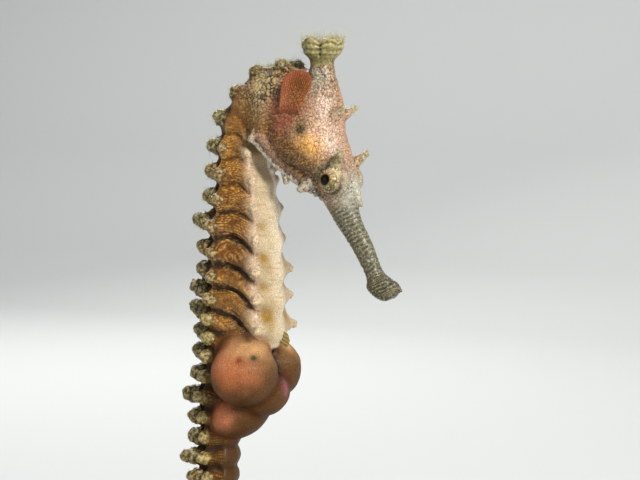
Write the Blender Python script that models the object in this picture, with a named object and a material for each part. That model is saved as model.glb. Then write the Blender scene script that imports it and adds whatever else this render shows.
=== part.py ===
"""A life-size male seahorse on a plain display stand.

The animal hangs upright with its head bowed and its tail rolled forwards. Its body is a chain of
bony rings, so the neck, trunk and tail are lofted through sections a quarter of a ring apart. The
sizes below are millimetres in the animal's own frame: x runs forwards from the trunk's middle, y to
the animal's left, and z up from the back of the last trunk ring.
"""

import math

import bmesh
import bpy
import numpy as np

MM = 0.001
SIDES = (("left", 1), ("right", -1))
TRUNK_X = -8.6  # where the trunk's middle stands over the base, mm from its centre
TRUNK_END_Z = 70.0  # height of the last trunk ring above the floor, mm
CUT = 0.3  # the parting between neighbouring pieces, mm

TRUNK_RINGS = 11
TAIL_START = 20  # the ring where the tail leaves the pouch and starts to roll up
LAST_RING = 45  # 11 rings of trunk and 34 of tail

# ring, back x, back z, belly x, belly z, half width
BODY = (
    (0, 11.0, 39.3, 4.7, 27.0, 5.2),
    (1, 6.4, 39.6, 4.3, 27.9, 5.0),
    (2, 1.6, 37.2, 3.8, 28.2, 4.7),
    (3, -1.6, 33.0, 3.4, 27.8, 4.5),
    (4, -3.0, 28.2, 3.6, 26.2, 4.5),
    (6, -3.9, 19.5, 6.0, 17.3, 5.2),
    (9, -5.3, 6.4, 7.4, 1.4, 6.1),
    (10, -5.4, 2.6, 7.5, -3.3, 6.0),
    (11, -5.5, -1.1, 7.0, -8.3, 5.7),
    (12, -6.0, -4.6, 3.6, -10.0, 5.1),
    (13, -6.5, -8.1, 2.0, -11.9, 4.6),
    (16, -7.7, -19.4, -0.5, -20.0, 3.7),
    (20, -8.3, -33.8, -2.1, -33.8, 3.1),
)

# The rolled end of the tail: length of its rings, curvature and half thickness, first to last.
ROLL_RING_LENGTH = (3.3, 1.45)
ROLL_CURVATURE = ((0, 0.02), (9, 0.085), (20, 0.125), (40, 0.22), (62, 0.42))  # 1/mm
TAIL_MIDDLE_HALF = 1.65
TAIL_TIP_HALF = 0.55

# Ridges of a section, from the belly round to the back, as shares of its half depth and half width.
TRUNK_RIDGES = ((1.0, 0.0), (0.56, 0.80), (-0.66, 0.97), (-1.0, 0.52), (-0.98, 0.0))
TAIL_RIDGES = ((0.86, 0.0), (0.80, 0.86), (0.0, 0.96), (-0.84, 0.84), (-0.88, 0.0))
HEAD_RIDGES = ((1.0, 0.0), (0.70, 0.62), (0.12, 1.0), (-0.58, 0.72), (-1.0, 0.0))
SNOUT_RIDGES = ((1.0, 0.0), (0.71, 0.71), (0.0, 1.0), (-0.71, 0.71), (-1.0, 0.0))
TRUNK_TO_TAIL = (15, 23)  # the rings over which the section changes from the trunk's to the tail's
HEAD_TO_SNOUT = (4.5, 7.0)  # and the stations over which it changes from the head's to the snout's
BODY_SQUARENESS = 0.55  # 0 is a round section, 1 has flat sides
HEAD_SQUARENESS = 0.15

GROOVE = 0.32  # how far a ring's edges sink and its middle rises, mm
GROOVE_HALF = 3.5  # on parts with a smaller half thickness than this the groove is shallower, mm
KNOB_HEIGHT = {"inferior": 1.9, "lateral": 1.3, "superior": 2.35}  # mm
KNOB_SHARE = {0.0: 0.3, 0.26: 0.8, 0.5: 1.0, 0.74: 0.85}  # of the height, along the ring
KNOB_FOOT = 0.35  # of the height, at the points beside the knob
FIRST_KNOB_RINGS = {"inferior": 4, "lateral": 4, "superior": 0}
LOW_KNOB_RINGS = {"inferior": 8, "lateral": 5, "superior": 3}  # the knobs before these are low
LOW_KNOB = 0.45
KNOB_FADING = 1.4  # over 1, so the last rings of the tail are smooth
LARGE_KNOB_RINGS = (7, 10, 11, 15, 18, 21, 24, 27, 30)
LARGE_KNOB = 1.5
POUCH_RINGS = (11, 20)  # no belly knobs where the pouch covers the tail

# station, top x, top z, underside x, underside z, half width
HEAD = (
    (0, 11.2, 39.3, 4.8, 26.8, 5.2),
    (1, 16.8, 38.0, 5.3, 24.9, 5.5),
    (2, 18.9, 33.6, 6.5, 22.5, 5.6),
    (3, 19.2, 29.2, 8.9, 20.9, 5.3),
    (4, 20.1, 26.3, 11.5, 19.8, 4.7),
    (5, 21.2, 22.6, 14.1, 17.7, 3.8),
    (7, 21.9, 15.3, 17.6, 12.9, 2.1),
    (9, 24.7, 9.3, 21.5, 7.3, 1.68),
    (10, 26.2, 5.7, 23.3, 3.9, 1.6),
    (11, 27.6, 4.4, 23.3, 2.2, 2.05),
    (12, 29.5, 2.7, 25.2, 0.6, 2.1),
    (13, 28.9, 1.2, 26.8, 0.2, 1.3),
)
SNOUT_STATION = 7.25  # where the snout leaves the head
JAW_STATION = 10.6  # where the jaws flare out from the snout
HALF_CUT = 0.04  # half the parting between two pieces of the head, in stations

EYE = (18.5, 3.75, 20.4)  # middle of the eyeball
EYE_RADIUS = 1.95
ORBIT = (18.5, 2.75, 20.4)  # middle of the swelling round it
ORBIT_RADIUS = 2.75

GILL_COVER = (11.4, 4.5, 27.6)  # middle of the dome
GILL_COVER_RADII = (5.2, 1.3, 3.9)
GILL_COVER_PITCH = math.radians(52)  # its long axis runs down towards the eye

SPINE_PROFILE = ((0.0, 1.0), (0.6, 0.52), (1.0, 0.3))  # share of the length, of the root radius
# Spines of the head: root, tip and root radius. The tips are blunt.
HEAD_SPINES = {
    "eye": ((18.6, 2.4, 22.6), (20.9, 5.4, 25.0), 1.6),
    "brow": ((17.6, 1.6, 31.0), (20.3, 2.5, 32.7), 1.2),
    "cheek": ((14.2, 2.6, 19.6), (12.5, 4.4, 18.6), 1.3),
    "throat": ((9.4, 2.4, 22.2), (9.7, 3.7, 19.7), 1.0),
    "gular": ((7.2, 2.2, 23.4), (7.0, 3.4, 21.2), 0.9),
}
SHOULDER_SPINE = ((5.4, 2.8, 30.8), (3.6, 4.9, 27.0), 1.3)
NOSE_SPINE = ((20.3, 0.0, 18.9), (22.5, 0.0, 16.3), 1.15)

CORONET_X = 14.9
CORONET_POINTS = 5
CORONET_TURN = math.pi  # one point faces back
# height, radius, how far the five ridges stand out
PEDESTAL = (
    (31.5, 2.6, 0.0),
    (34.5, 3.3, 0.02),
    (36.4, 2.95, 0.04),
    (38.2, 2.4, 0.06),
    (39.8, 2.15, 0.08),
)
CROWN = (
    (40.1, 2.15, 0.08),
    (40.8, 2.25, 0.09),
    (41.4, 2.75, 0.10),
    (42.1, 3.3, 0.12),
    (43.0, 3.6, 0.13),
    (43.9, 3.5, 0.14),
    (44.65, 2.8, 0.12),
    (44.1, 1.2, 0.02),
)

# Brood pouch: middles, radii and pitches of its swellings. The first stands for two lobes, left
# and right.
POUCH_LOBE = ((2.1, 4.4, -13.0), (5.9, 5.6, 5.5))
POUCH_ROLLS = (
    ((3.2, 0.0, -16.4), (4.9, 5.6, 4.6), 0.0),
    ((-0.9, 0.0, -20.6), (6.3, 5.8, 4.2), math.radians(-38)),
)
POUCH_GAP = 0.45  # between the pouch and the tail behind it, mm
POUCH_SPAN = (8, 23)  # the rings that the pouch is hollowed round

FIN_THICKNESS = 0.6
PECTORAL_ROOT = (11.4, 6.2, 31.2)
PECTORAL_LENGTH = 8.7
PECTORAL_LEAN = math.radians(14)  # forwards from upright
PECTORAL_SPREAD = math.radians(22)  # between its first and last rays
PECTORAL_INSET = math.radians(12)  # its upper edge leans in over the neck
PECTORAL_FOOT = 3.2  # width of its root
PECTORAL_ROUNDING = 0.45  # its outer rays are this share shorter than its middle one
PECTORAL_RAYS = 9
MIDLINE_ROUNDING = 0.55  # the ends of the back and belly fins are lower than their middles
DORSAL_RINGS = (9.3, 12.3)  # the rings that carry the back fin
DORSAL_HEIGHT = 2.2
ANAL_RINGS = (10.45, 10.95)
ANAL_HEIGHT = 1.0

BASE_SIZE = (62.0, 44.0, 6.0)
BASE_BEVEL = 1.2
ROD_RADIUS = 1.5
CUP_RADIUS = 2.0
CUP_HEIGHT = 2.2
CUP_SPAN = 2.4  # half width of the square over which the cup clears the skin above it, mm
ROUND_SIDES = 20  # of the rod and its cup

PARTS = {  # the lengths of the body and the rings that bound each
    "neck": (0, 3),
    "trunk_upper": (3, 7),
    "trunk_lower": (7, 11),
    "tail_root": (11, 16),
    "tail_upper": (16, 21),
    "tail_bend": (21, 26),
    "tail_curl": (26, 33),
    "tail_tip": (33, LAST_RING),
}

COLOURS = {  # linear base colour, roughness
    "skin_brown": ((0.30, 0.13, 0.035), 0.6),
    "skin_pink": ((0.52, 0.18, 0.10), 0.55),
    "skin_grey": ((0.38, 0.32, 0.24), 0.6),
    "fin_membrane": ((0.26, 0.10, 0.04), 0.5),
    "crown_yellow": ((0.42, 0.36, 0.16), 0.7),
    "eye_black": ((0.02, 0.015, 0.01), 0.08),
    "base_black": ((0.02, 0.02, 0.022), 0.35),
    "rod_steel": ((0.55, 0.55, 0.56), 0.3),
}


def clear_scene():
    for obj in list(bpy.data.objects):
        bpy.data.objects.remove(obj)


def material(name):
    found = bpy.data.materials.get(name)
    if found:
        return found
    colour, roughness = COLOURS[name]
    made = bpy.data.materials.new(name)
    made.use_nodes = True
    shader = made.node_tree.nodes["Principled BSDF"]
    shader.inputs["Base Color"].default_value = (*colour, 1.0)
    shader.inputs["Roughness"].default_value = roughness
    shader.inputs["Metallic"].default_value = 1.0 if name == "rod_steel" else 0.0
    return made


def world(x, y, z):
    """A point of the tables as Blender's metres over the base."""
    return ((x + TRUNK_X) * MM, y * MM, (z + TRUNK_END_Z) * MM)


def row_at(table, key):
    """The table's values at key, on a smooth curve through its rows."""
    rows = np.array(table, float)
    keys, values = rows[:, 0], rows[:, 1:]
    slopes = np.gradient(values, keys, axis=0)
    i = int(np.clip(np.searchsorted(keys, key) - 1, 0, len(keys) - 2))
    step = keys[i + 1] - keys[i]
    t = (key - keys[i]) / step
    return (
        values[i] * (2 * t**3 - 3 * t**2 + 1)
        + slopes[i] * step * (t**3 - 2 * t**2 + t)
        + values[i + 1] * (3 * t**2 - 2 * t**3)
        + slopes[i + 1] * step * (t**3 - t**2)
    )


def rolled_tail(steps_per_ring=20):
    """Centre, heading and half thickness along the rolled end, one row for each small step."""
    rings = np.arange(TAIL_START, LAST_RING + 1e-9, 1 / steps_per_ring)
    share = (rings - TAIL_START) / (LAST_RING - TAIL_START)
    step = np.interp(share, (0, 1), ROLL_RING_LENGTH) / steps_per_ring
    along = np.concatenate([[0.0], np.cumsum(step)[:-1]])
    curvature = np.interp(along, *zip(*ROLL_CURVATURE))
    heading = np.concatenate([[0.0], np.cumsum(curvature * step)[:-1]])
    _, back_x, back_z, belly_x, belly_z, half_width = BODY[-1]
    x = (back_x + belly_x) / 2 + np.concatenate([[0.0], np.cumsum(np.sin(heading) * step)[:-1]])
    z = (back_z + belly_z) / 2 - np.concatenate([[0.0], np.cumsum(np.cos(heading) * step)[:-1]])
    half = np.interp(share, (0, 0.5, 1), (half_width, TAIL_MIDDLE_HALF, TAIL_TIP_HALF))
    return np.stack([rings, x, z, heading, half], axis=1)


ROLL = rolled_tail()


def body_section(ring):
    """Back point and belly point in the side view, and half width, of the section at ring."""
    if ring <= TAIL_START:
        back_x, back_z, belly_x, belly_z, half_width = row_at(BODY, ring)
        return np.array([back_x, back_z]), np.array([belly_x, belly_z]), half_width
    x, z, heading, half = (np.interp(ring, ROLL[:, 0], ROLL[:, i]) for i in range(1, 5))
    towards_belly = np.array([math.cos(heading), math.sin(heading)]) * half
    middle = np.array([x, z])
    return middle - towards_belly, middle + towards_belly, half


def mixed(first, second, share):
    return tuple(tuple(np.array(a) * (1 - share) + np.array(b) * share) for a, b in zip(first, second))


def body_ridges(ring):
    share = np.interp(ring, TRUNK_TO_TAIL, (0, 1))
    return mixed(TRUNK_RIDGES, TAIL_RIDGES, share * share * (3 - 2 * share))


def outline(ridges, per_side, squareness):
    """A closed section through the ridges and their mirror images, per_side points to a side."""
    corners = list(ridges) + [(a, -b) for a, b in reversed(ridges[1:-1])]
    points = []
    for i in range(len(corners)):
        before, start, end, after = (np.array(corners[(i + k) % len(corners)]) for k in (-1, 0, 1, 2))
        for k in range(per_side):
            t = k / per_side
            curve = 0.5 * (
                2 * start
                + (end - before) * t
                + (2 * before - 5 * start + 4 * end - after) * t**2
                + (3 * start - before - 3 * end + after) * t**3
            )
            straight = start * (1 - t) + end * t
            points.append(curve * (1 - squareness) + straight * squareness)
    return np.array(points)


def placed(points, top, under, half_width, swell=0.0):
    """The section's points in the body's millimetres, grown outwards by swell."""
    middle, half = (top + under) / 2, (under - top) / 2
    flat = np.stack(
        [
            middle[0] + points[:, 0] * half[0],
            points[:, 1] * half_width,
            middle[1] + points[:, 0] * half[1],
        ],
        axis=1,
    )
    centre = np.array([middle[0], 0.0, middle[1]])
    outward = flat - centre
    return flat + outward / np.linalg.norm(outward, axis=1)[:, None] * swell


def knob_height(row, ring_number):
    """How far this ring's knob of the row named stands out, in mm."""
    height = KNOB_HEIGHT[row]
    if ring_number < FIRST_KNOB_RINGS[row]:
        return 0.0
    if row == "inferior" and POUCH_RINGS[0] <= ring_number < POUCH_RINGS[1]:
        return 0.0
    if ring_number < LOW_KNOB_RINGS[row]:
        return height * LOW_KNOB
    if row == "lateral" and ring_number >= POUCH_RINGS[1]:
        return 0.0
    if ring_number in LARGE_KNOB_RINGS:
        height *= LARGE_KNOB
    along_roll = max(ring_number - TAIL_START, 0) / (LAST_RING - TAIL_START)
    return height * max(1 - KNOB_FADING * along_roll, 0)


def raise_knobs(points, per_side, ring_number, share):
    """Moves the section's ridges outwards by this share of their knobs' height."""
    count = len(points)
    centre = points.mean(axis=0)
    for row, corner in (("inferior", 1), ("lateral", 2), ("superior", 3)):
        height = knob_height(row, ring_number) * share
        for ridge in (corner * per_side, count - corner * per_side):
            for index, part in ((ridge, 1.0), (ridge - 1, KNOB_FOOT), (ridge + 1, KNOB_FOOT)):
                outward = points[index] - centre
                points[index] += outward / np.linalg.norm(outward) * height * part
    return points


def new_object(name, bm, material_name, smooth=True):
    bmesh.ops.recalc_face_normals(bm, faces=bm.faces)
    mesh = bpy.data.meshes.new(name)
    bm.to_mesh(mesh)
    bm.free()
    if smooth:
        mesh.shade_smooth()
        mesh.set_sharp_from_angle(angle=math.radians(50))
    mesh.materials.append(material(material_name))
    obj = bpy.data.objects.new(name, mesh)
    bpy.context.scene.collection.objects.link(obj)
    return obj


def loft(name, sections, material_name):
    """One closed body through the sections, each an array of points in the body's millimetres."""
    bm = bmesh.new()
    loops = [[bm.verts.new(world(*p)) for p in section] for section in sections]
    for first, second in zip(loops, loops[1:]):
        for i in range(len(first)):
            k = (i + 1) % len(first)
            bm.faces.new((first[i], first[k], second[k], second[i]))
    bm.faces.new(reversed(loops[0]))
    bm.faces.new(loops[-1])
    return new_object(name, bm, material_name)


def ring_phases(ring_number):
    """Where a ring's sections stand: a quarter of a ring apart, or half on the thin tail."""
    if ring_number < TAIL_START:
        return (0.0, 0.26, 0.5, 0.74)
    if ring_number < TAIL_START + 12:
        return (0.0, 0.5)
    return (0.0,)


def ring_section(key, per_side, at=None, margin=0.0):
    """The section that belongs to key, set at the ring position at, grown outwards by margin."""
    at = key if at is None else at
    ring_number = int(key + 1e-6)
    phase = key - ring_number
    back, belly, half_width = body_section(at)
    thickness = min(np.linalg.norm(belly - back) / 2, half_width)
    swell = margin - math.cos(2 * math.pi * phase) * GROOVE * min(1.0, thickness / GROOVE_HALF)
    flat = outline(body_ridges(at), per_side, BODY_SQUARENESS)
    points = placed(flat, back, belly, half_width, swell)
    share = KNOB_SHARE[round(phase, 2)]
    return raise_knobs(points, per_side, ring_number, share)


def ring_length(ring):
    """The length in mm of one ring's middle line at ring."""
    here, after = body_section(ring), body_section(min(ring + 0.01, LAST_RING))
    return np.linalg.norm((after[0] + after[1] - here[0] - here[1]) / 2) / 0.01


def section_keys(first_ring, last_ring):
    return [n + phase for n in range(first_ring, last_ring) for phase in ring_phases(n)]


def body_part(name, first_ring, last_ring):
    """One length of the ringed body, parted from its neighbours by a thin cut."""
    per_side = 3 if first_ring < TRUNK_RINGS else 2
    sections = []
    for key in [*section_keys(first_ring, last_ring), last_ring]:
        at = key
        if key == first_ring and first_ring > 0:
            at = key + CUT / 2 / max(ring_length(key), 1.0)
        if key == last_ring and last_ring < LAST_RING:
            at = key - CUT / 2 / max(ring_length(key), 1.0)
        sections.append(ring_section(key, per_side, at))
    colour = "skin_brown" if first_ring < TAIL_START else "skin_grey"
    return loft(name, sections, colour)


def head_section(station, per_side):
    top_x, top_z, under_x, under_z, half_width = row_at(HEAD, station)
    share = np.interp(station, HEAD_TO_SNOUT, (0, 1))
    points = outline(mixed(HEAD_RIDGES, SNOUT_RIDGES, share), per_side, HEAD_SQUARENESS)
    return placed(points, np.array([top_x, top_z]), np.array([under_x, under_z]), half_width)


def helper(obj):
    """Hides a cutter or a piece that a Boolean takes in."""
    obj.hide_render = True
    obj.display_type = "WIRE"
    return obj


def boolean(obj, other, operation):
    modifier = obj.modifiers.new(f"{operation.lower()}_{other.name}", "BOOLEAN")
    modifier.operation = operation
    modifier.solver = "EXACT"
    modifier.object = helper(other)


def ellipsoid(name, centre, radii, material_name, segments=12, rings=8, pitch=0.0):
    bm = bmesh.new()
    bmesh.ops.create_uvsphere(bm, u_segments=segments, v_segments=rings, radius=1.0)
    sine, cosine = math.sin(pitch), math.cos(pitch)
    for vert in bm.verts:
        x, y, z = (c * r for c, r in zip(vert.co, radii))
        vert.co = world(
            centre[0] + x * cosine + z * sine, centre[1] + y, centre[2] - x * sine + z * cosine
        )
    return new_object(name, bm, material_name)


def spine(name, root, tip, radius, material_name, sides=6):
    """A blunt cone from root to tip, sunk at its root into what it grows from."""
    root, tip = np.array(root, float), np.array(tip, float)
    along = (tip - root) / np.linalg.norm(tip - root)
    across = np.cross(along, (0.0, 0.0, 1.0) if abs(along[2]) < 0.9 else (1.0, 0.0, 0.0))
    across /= np.linalg.norm(across)
    third = np.cross(along, across)
    sections = []
    for share, size in SPINE_PROFILE:
        turn = [2 * math.pi * i / sides for i in range(sides)]
        centre = root + (tip - root) * share
        sections.append(
            [centre + (across * math.cos(a) + third * math.sin(a)) * radius * size for a in turn]
        )
    return loft(name, sections, material_name)


def starred_column(name, levels, material_name, around=20):
    """A round column with five ridges, given as height, radius and ridge share."""
    sections = []
    for height, radius, ridge in levels:
        section = []
        for i in range(around):
            angle = 2 * math.pi * i / around
            r = radius * (1 + ridge * math.cos(CORONET_POINTS * (angle - CORONET_TURN)))
            section.append((CORONET_X + r * math.cos(angle), r * math.sin(angle), height))
        sections.append(np.array(section))
    return loft(name, sections, material_name)


def mirrored(point, sign):
    return (point[0], sign * point[1], point[2])


def head():
    """The head behind the snout, with its spines joined on and its sockets cut."""
    stations = np.linspace(HALF_CUT, SNOUT_STATION - HALF_CUT, 11)
    body = loft("head", [head_section(s, 3) for s in stations], "skin_pink")
    boolean(body, starred_column("pedestal", PEDESTAL, "skin_pink"), "UNION")
    boolean(body, spine("nose_spine", *NOSE_SPINE, "skin_grey"), "UNION")
    for side, sign in SIDES:
        orbit = ellipsoid(f"orbit_{side}", mirrored(ORBIT, sign), [ORBIT_RADIUS] * 3, "skin_pink")
        boolean(body, orbit, "UNION")
        for name, (root, tip, radius) in HEAD_SPINES.items():
            ends = mirrored(root, sign), mirrored(tip, sign)
            boolean(body, spine(f"{name}_spine_{side}", *ends, radius, "skin_grey"), "UNION")
        dome = ellipsoid(
            f"gill_cover_{side}",
            mirrored(GILL_COVER, sign),
            GILL_COVER_RADII,
            "skin_pink",
            pitch=GILL_COVER_PITCH,
        )
        boolean(body, dome, "UNION")
        socket = ellipsoid(
            f"socket_{side}", mirrored(EYE, sign), [EYE_RADIUS + CUT] * 3, "eye_black"
        )
        boolean(body, socket, "DIFFERENCE")


def snout_and_jaw():
    snout = np.linspace(SNOUT_STATION + HALF_CUT, JAW_STATION - HALF_CUT, 8)
    loft("snout", [head_section(s, 2) for s in snout], "skin_grey")
    jaw = np.linspace(JAW_STATION + HALF_CUT, HEAD[-1][0], 6)
    loft("jaw", [head_section(s, 2) for s in jaw], "skin_grey")


def eyes():
    for side, sign in SIDES:
        ellipsoid(f"eye_{side}", mirrored(EYE, sign), [EYE_RADIUS] * 3, "eye_black")


def brood_pouch():
    """The swollen pouch on the belly side of the tail, hollowed to clear the tail behind it."""
    centre, radii = POUCH_LOBE
    pouch = ellipsoid("brood_pouch", centre, radii, "skin_pink", 14, 8)
    right_lobe = ellipsoid("pouch_lobe_right", mirrored(centre, -1), radii, "skin_pink", 14, 8)
    boolean(pouch, right_lobe, "UNION")
    for number, (middle, size, pitch) in enumerate(POUCH_ROLLS):
        roll = ellipsoid(f"pouch_roll_{number}", middle, size, "skin_pink", pitch=pitch)
        boolean(pouch, roll, "UNION")
    sections = [ring_section(key, 2, margin=POUCH_GAP) for key in section_keys(*POUCH_SPAN)]
    boolean(pouch, loft("tail_clearance", sections, "skin_brown"), "DIFFERENCE")


def plate(name, path, offset, material_name):
    """A thin plate: the closed path of points, and the same path moved by offset."""
    bm = bmesh.new()
    near = [bm.verts.new(world(*p)) for p in path]
    far = [bm.verts.new(world(*(np.array(p) + offset))) for p in path]
    for i in range(len(path)):
        k = (i + 1) % len(path)
        bm.faces.new((near[i], near[k], far[k], far[i]))
    bm.faces.new(reversed(near))
    bm.faces.new(far)
    return new_object(name, bm, material_name, smooth=False)


def pectoral_fins():
    """A fan behind each gill cover, its upper edge leaning in over the side of the neck."""
    shares = np.linspace(1, -1, PECTORAL_RAYS)
    rays = [(share, 1 - PECTORAL_ROUNDING * (1 - math.sqrt(1 - share**2))) for share in shares]
    corners = [(-1.0, 0.0), (1.0, 0.0), *rays]
    for side, sign in SIDES:
        path = []
        for share, reach in corners:
            angle = PECTORAL_LEAN + share * PECTORAL_SPREAD / 2
            across = share * PECTORAL_FOOT / 2 + PECTORAL_LENGTH * reach * math.sin(angle)
            up = PECTORAL_LENGTH * reach * math.cos(angle)
            x, y, z = PECTORAL_ROOT
            y -= up * math.sin(PECTORAL_INSET)
            path.append((x + across, sign * y, z + up * math.cos(PECTORAL_INSET)))
        outwards = np.array([0, sign * math.cos(PECTORAL_INSET), math.sin(PECTORAL_INSET)])
        plate(f"pectoral_fin_{side}", path, outwards * FIN_THICKNESS, "fin_membrane")


def midline_fin(name, rings, height, on_back):
    """A thin fin standing on the middle of the back or of the belly, over the rings named."""
    foot, edge = [], []
    for share in np.linspace(0, 1, 7):
        back, belly, _ = body_section(rings[0] + (rings[1] - rings[0]) * share)
        start, other = (back, belly) if on_back else (belly, back)
        outward = (start - other) / np.linalg.norm(start - other)
        reach = height * (1 - MIDLINE_ROUNDING * (2 * share - 1) ** 2)
        foot.append(start + outward * (GROOVE + CUT))
        edge.append(start + outward * (GROOVE + CUT + reach))
    path = [(p[0], -FIN_THICKNESS / 2, p[1]) for p in foot + edge[::-1]]
    plate(name, path, np.array([0, FIN_THICKNESS, 0]), "fin_membrane")


def shoulder_spines():
    """A blunt spine on each side of the first ring, at the corner of the throat."""
    root, tip, radius = SHOULDER_SPINE
    neck = bpy.data.objects["neck"]
    for side, sign in SIDES:
        ends = mirrored(root, sign), mirrored(tip, sign)
        boolean(neck, spine(f"shoulder_spine_{side}", *ends, radius, "skin_grey"), "UNION")


def lowest_skin(x, half_width):
    """The height of the rolled tail's lowest skin over a square of this half width at x."""
    lowest = []
    for key in section_keys(TAIL_START, LAST_RING):
        section = ring_section(key, 2)
        for share in np.linspace(0, 1, 9):
            between = section * (1 - share) + np.roll(section, 1, axis=0) * share
            over = (abs(between[:, 0] - x) < half_width) & (abs(between[:, 1]) < half_width)
            lowest += list(between[over, 2])
    return min(lowest)


def cylinder(name, x, radius, low, high, material_name):
    turn = [2 * math.pi * i / ROUND_SIDES for i in range(ROUND_SIDES)]
    circle = [(x + radius * math.cos(a), radius * math.sin(a)) for a in turn]
    loft(name, [[(*point, z) for point in circle] for z in (low, high)], material_name)


def stand():
    """A flat base, and a short rod with a cup under the lowest bend of the tail."""
    length, width, height = BASE_SIZE
    bm = bmesh.new()
    bmesh.ops.create_cube(bm, size=1.0)
    for vert in bm.verts:
        vert.co = (vert.co.x * length * MM, vert.co.y * width * MM, (vert.co.z + 0.5) * height * MM)
    base = new_object("stand_base", bm, "base_black", smooth=False)
    bevel = base.modifiers.new("rounded_edges", "BEVEL")
    bevel.width = BASE_BEVEL * MM
    bevel.segments = 2

    foot_x = ROLL[np.argmin(ROLL[:, 2] - ROLL[:, 4]), 1]
    cup_top = lowest_skin(foot_x, CUP_SPAN) - CUT
    cup_foot = cup_top - CUP_HEIGHT
    base_top = height - TRUNK_END_Z
    cylinder("stand_cup", foot_x, CUP_RADIUS, cup_foot, cup_top, "rod_steel")
    cylinder("stand_rod", foot_x, ROD_RADIUS, base_top + CUT, cup_foot - CUT, "rod_steel")


def main():
    clear_scene()
    for name, (first_ring, last_ring) in PARTS.items():
        body_part(name, first_ring, last_ring)
    head()
    snout_and_jaw()
    starred_column("coronet", CROWN, "crown_yellow")
    eyes()
    shoulder_spines()
    brood_pouch()
    pectoral_fins()
    midline_fin("dorsal_fin", DORSAL_RINGS, DORSAL_HEIGHT, on_back=True)
    midline_fin("anal_fin", ANAL_RINGS, ANAL_HEIGHT, on_back=False)
    stand()


main()
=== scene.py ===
"""A life-size male seahorse on a plain display stand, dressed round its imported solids."""

import math

import bmesh
import bpy
import numpy as np
from mathutils import Matrix, Vector, kdtree, noise


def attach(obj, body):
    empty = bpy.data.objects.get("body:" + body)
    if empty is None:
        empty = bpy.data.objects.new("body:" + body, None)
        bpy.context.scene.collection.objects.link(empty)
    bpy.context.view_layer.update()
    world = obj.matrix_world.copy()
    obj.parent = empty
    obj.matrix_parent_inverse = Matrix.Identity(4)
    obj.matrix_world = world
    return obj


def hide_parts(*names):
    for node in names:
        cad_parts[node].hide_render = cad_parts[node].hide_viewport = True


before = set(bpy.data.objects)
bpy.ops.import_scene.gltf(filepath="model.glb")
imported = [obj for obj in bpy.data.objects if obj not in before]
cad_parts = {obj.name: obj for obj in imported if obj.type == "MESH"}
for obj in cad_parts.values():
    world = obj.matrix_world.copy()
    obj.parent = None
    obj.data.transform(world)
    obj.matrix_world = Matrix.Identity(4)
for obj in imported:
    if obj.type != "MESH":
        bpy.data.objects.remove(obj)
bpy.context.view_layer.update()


# ==== Skin ====================================================================================
# A seahorse has no scales. Its skin is stretched over a chain of bony rings, eleven round the
# trunk and thirty-four round the tail, and the head, crown and pouch are covered by the same one.
# The forms under it are laid out in millimetres: x forwards, y to the animal's left, z up from
# the back of the last trunk ring. Then one skin is drawn over them all.

# ---- the ringed body: a tube that follows its back and its belly from the nape to the tail's tip

MM = 0.001
BODY_X = -8.6  # where the trunk stands over the base
BODY_Z = 70.0  # height of the last trunk ring over the floor
UNDER_SOLID = 0.12  # the skin stays this far inside the solids

# ring, back x, back z, belly x, belly z, half width
BODY = (
    (0, 11.0, 39.3, 4.7, 27.0, 5.2),
    (1, 6.4, 39.6, 4.3, 27.9, 5.0),
    (2, 1.6, 37.2, 3.8, 28.2, 4.7),
    (3, -1.6, 33.0, 3.4, 27.8, 4.5),
    (4, -3.0, 28.2, 3.6, 26.2, 4.5),
    (6, -3.9, 19.5, 6.0, 17.3, 5.2),
    (9, -5.3, 6.4, 7.4, 1.4, 6.1),
    (10, -5.4, 2.6, 7.5, -3.3, 6.0),
    (11, -5.5, -1.1, 7.0, -8.3, 5.7),
    (12, -6.0, -4.6, 3.6, -10.0, 5.1),
    (13, -6.5, -8.1, 2.0, -11.9, 4.6),
    (16, -7.7, -19.4, -0.5, -20.0, 3.7),
    (20, -8.3, -33.8, -2.1, -33.8, 3.1),
)
LAST_RING = 45
ROLL_START = 20  # from here the tail rolls forwards
ROLL_RING_LENGTH = (3.3, 1.45)
ROLL_CURVATURE = ((0, 0.02), (9, 0.085), (20, 0.125), (40, 0.22), (62, 0.42))
TAIL_HALVES = (3.1, 1.65, 0.55)
# A section's ridges from the belly round to the back: shares of its half depth and half width.
TRUNK_RIDGES = np.array(((1.0, 0.0), (0.56, 0.80), (-0.66, 0.97), (-1.0, 0.52), (-0.98, 0.0)))
TAIL_RIDGES = np.array(((0.86, 0.0), (0.80, 0.86), (0.0, 0.96), (-0.84, 0.84), (-0.88, 0.0)))
RING_SWELL = 0.22  # a ring's middle stands out and its edges sink by this
CRESCENT_BOW = 0.30  # of a ring: the furrows of the flank bow upwards in the middle


def through(table, keys):
    """The table's values at the keys, on a smooth curve through its rows."""
    rows = np.array(table, float)
    known, values = rows[:, 0], rows[:, 1:]
    slopes = np.gradient(values, known, axis=0)
    keys = np.clip(keys, known[0], known[-1])
    i = np.clip(np.searchsorted(known, keys) - 1, 0, len(known) - 2)
    step = (known[i + 1] - known[i])[:, None]
    t = (keys - known[i])[:, None] / step
    return (
        values[i] * (2 * t**3 - 3 * t**2 + 1)
        + slopes[i] * step * (t**3 - 2 * t**2 + t)
        + values[i + 1] * (3 * t**2 - 2 * t**3)
        + slopes[i + 1] * step * (t**3 - t**2)
    )


def held(values):
    """Kept between 0 and 1."""
    return np.clip(values, 0, 1)


def ramp(values, low, high):
    """0 at low, 1 at high, smooth between."""
    t = held((values - low) / (high - low))
    return t * t * (3 - 2 * t)


def hump(values, centre, width):
    """1 at the centre, falling off within the width."""
    return np.exp(-(((values - centre) / width) ** 2))


def so_far(steps):
    """The sum of the steps before each one."""
    return np.concatenate([[0.0], np.cumsum(steps)[:-1]])


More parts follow.
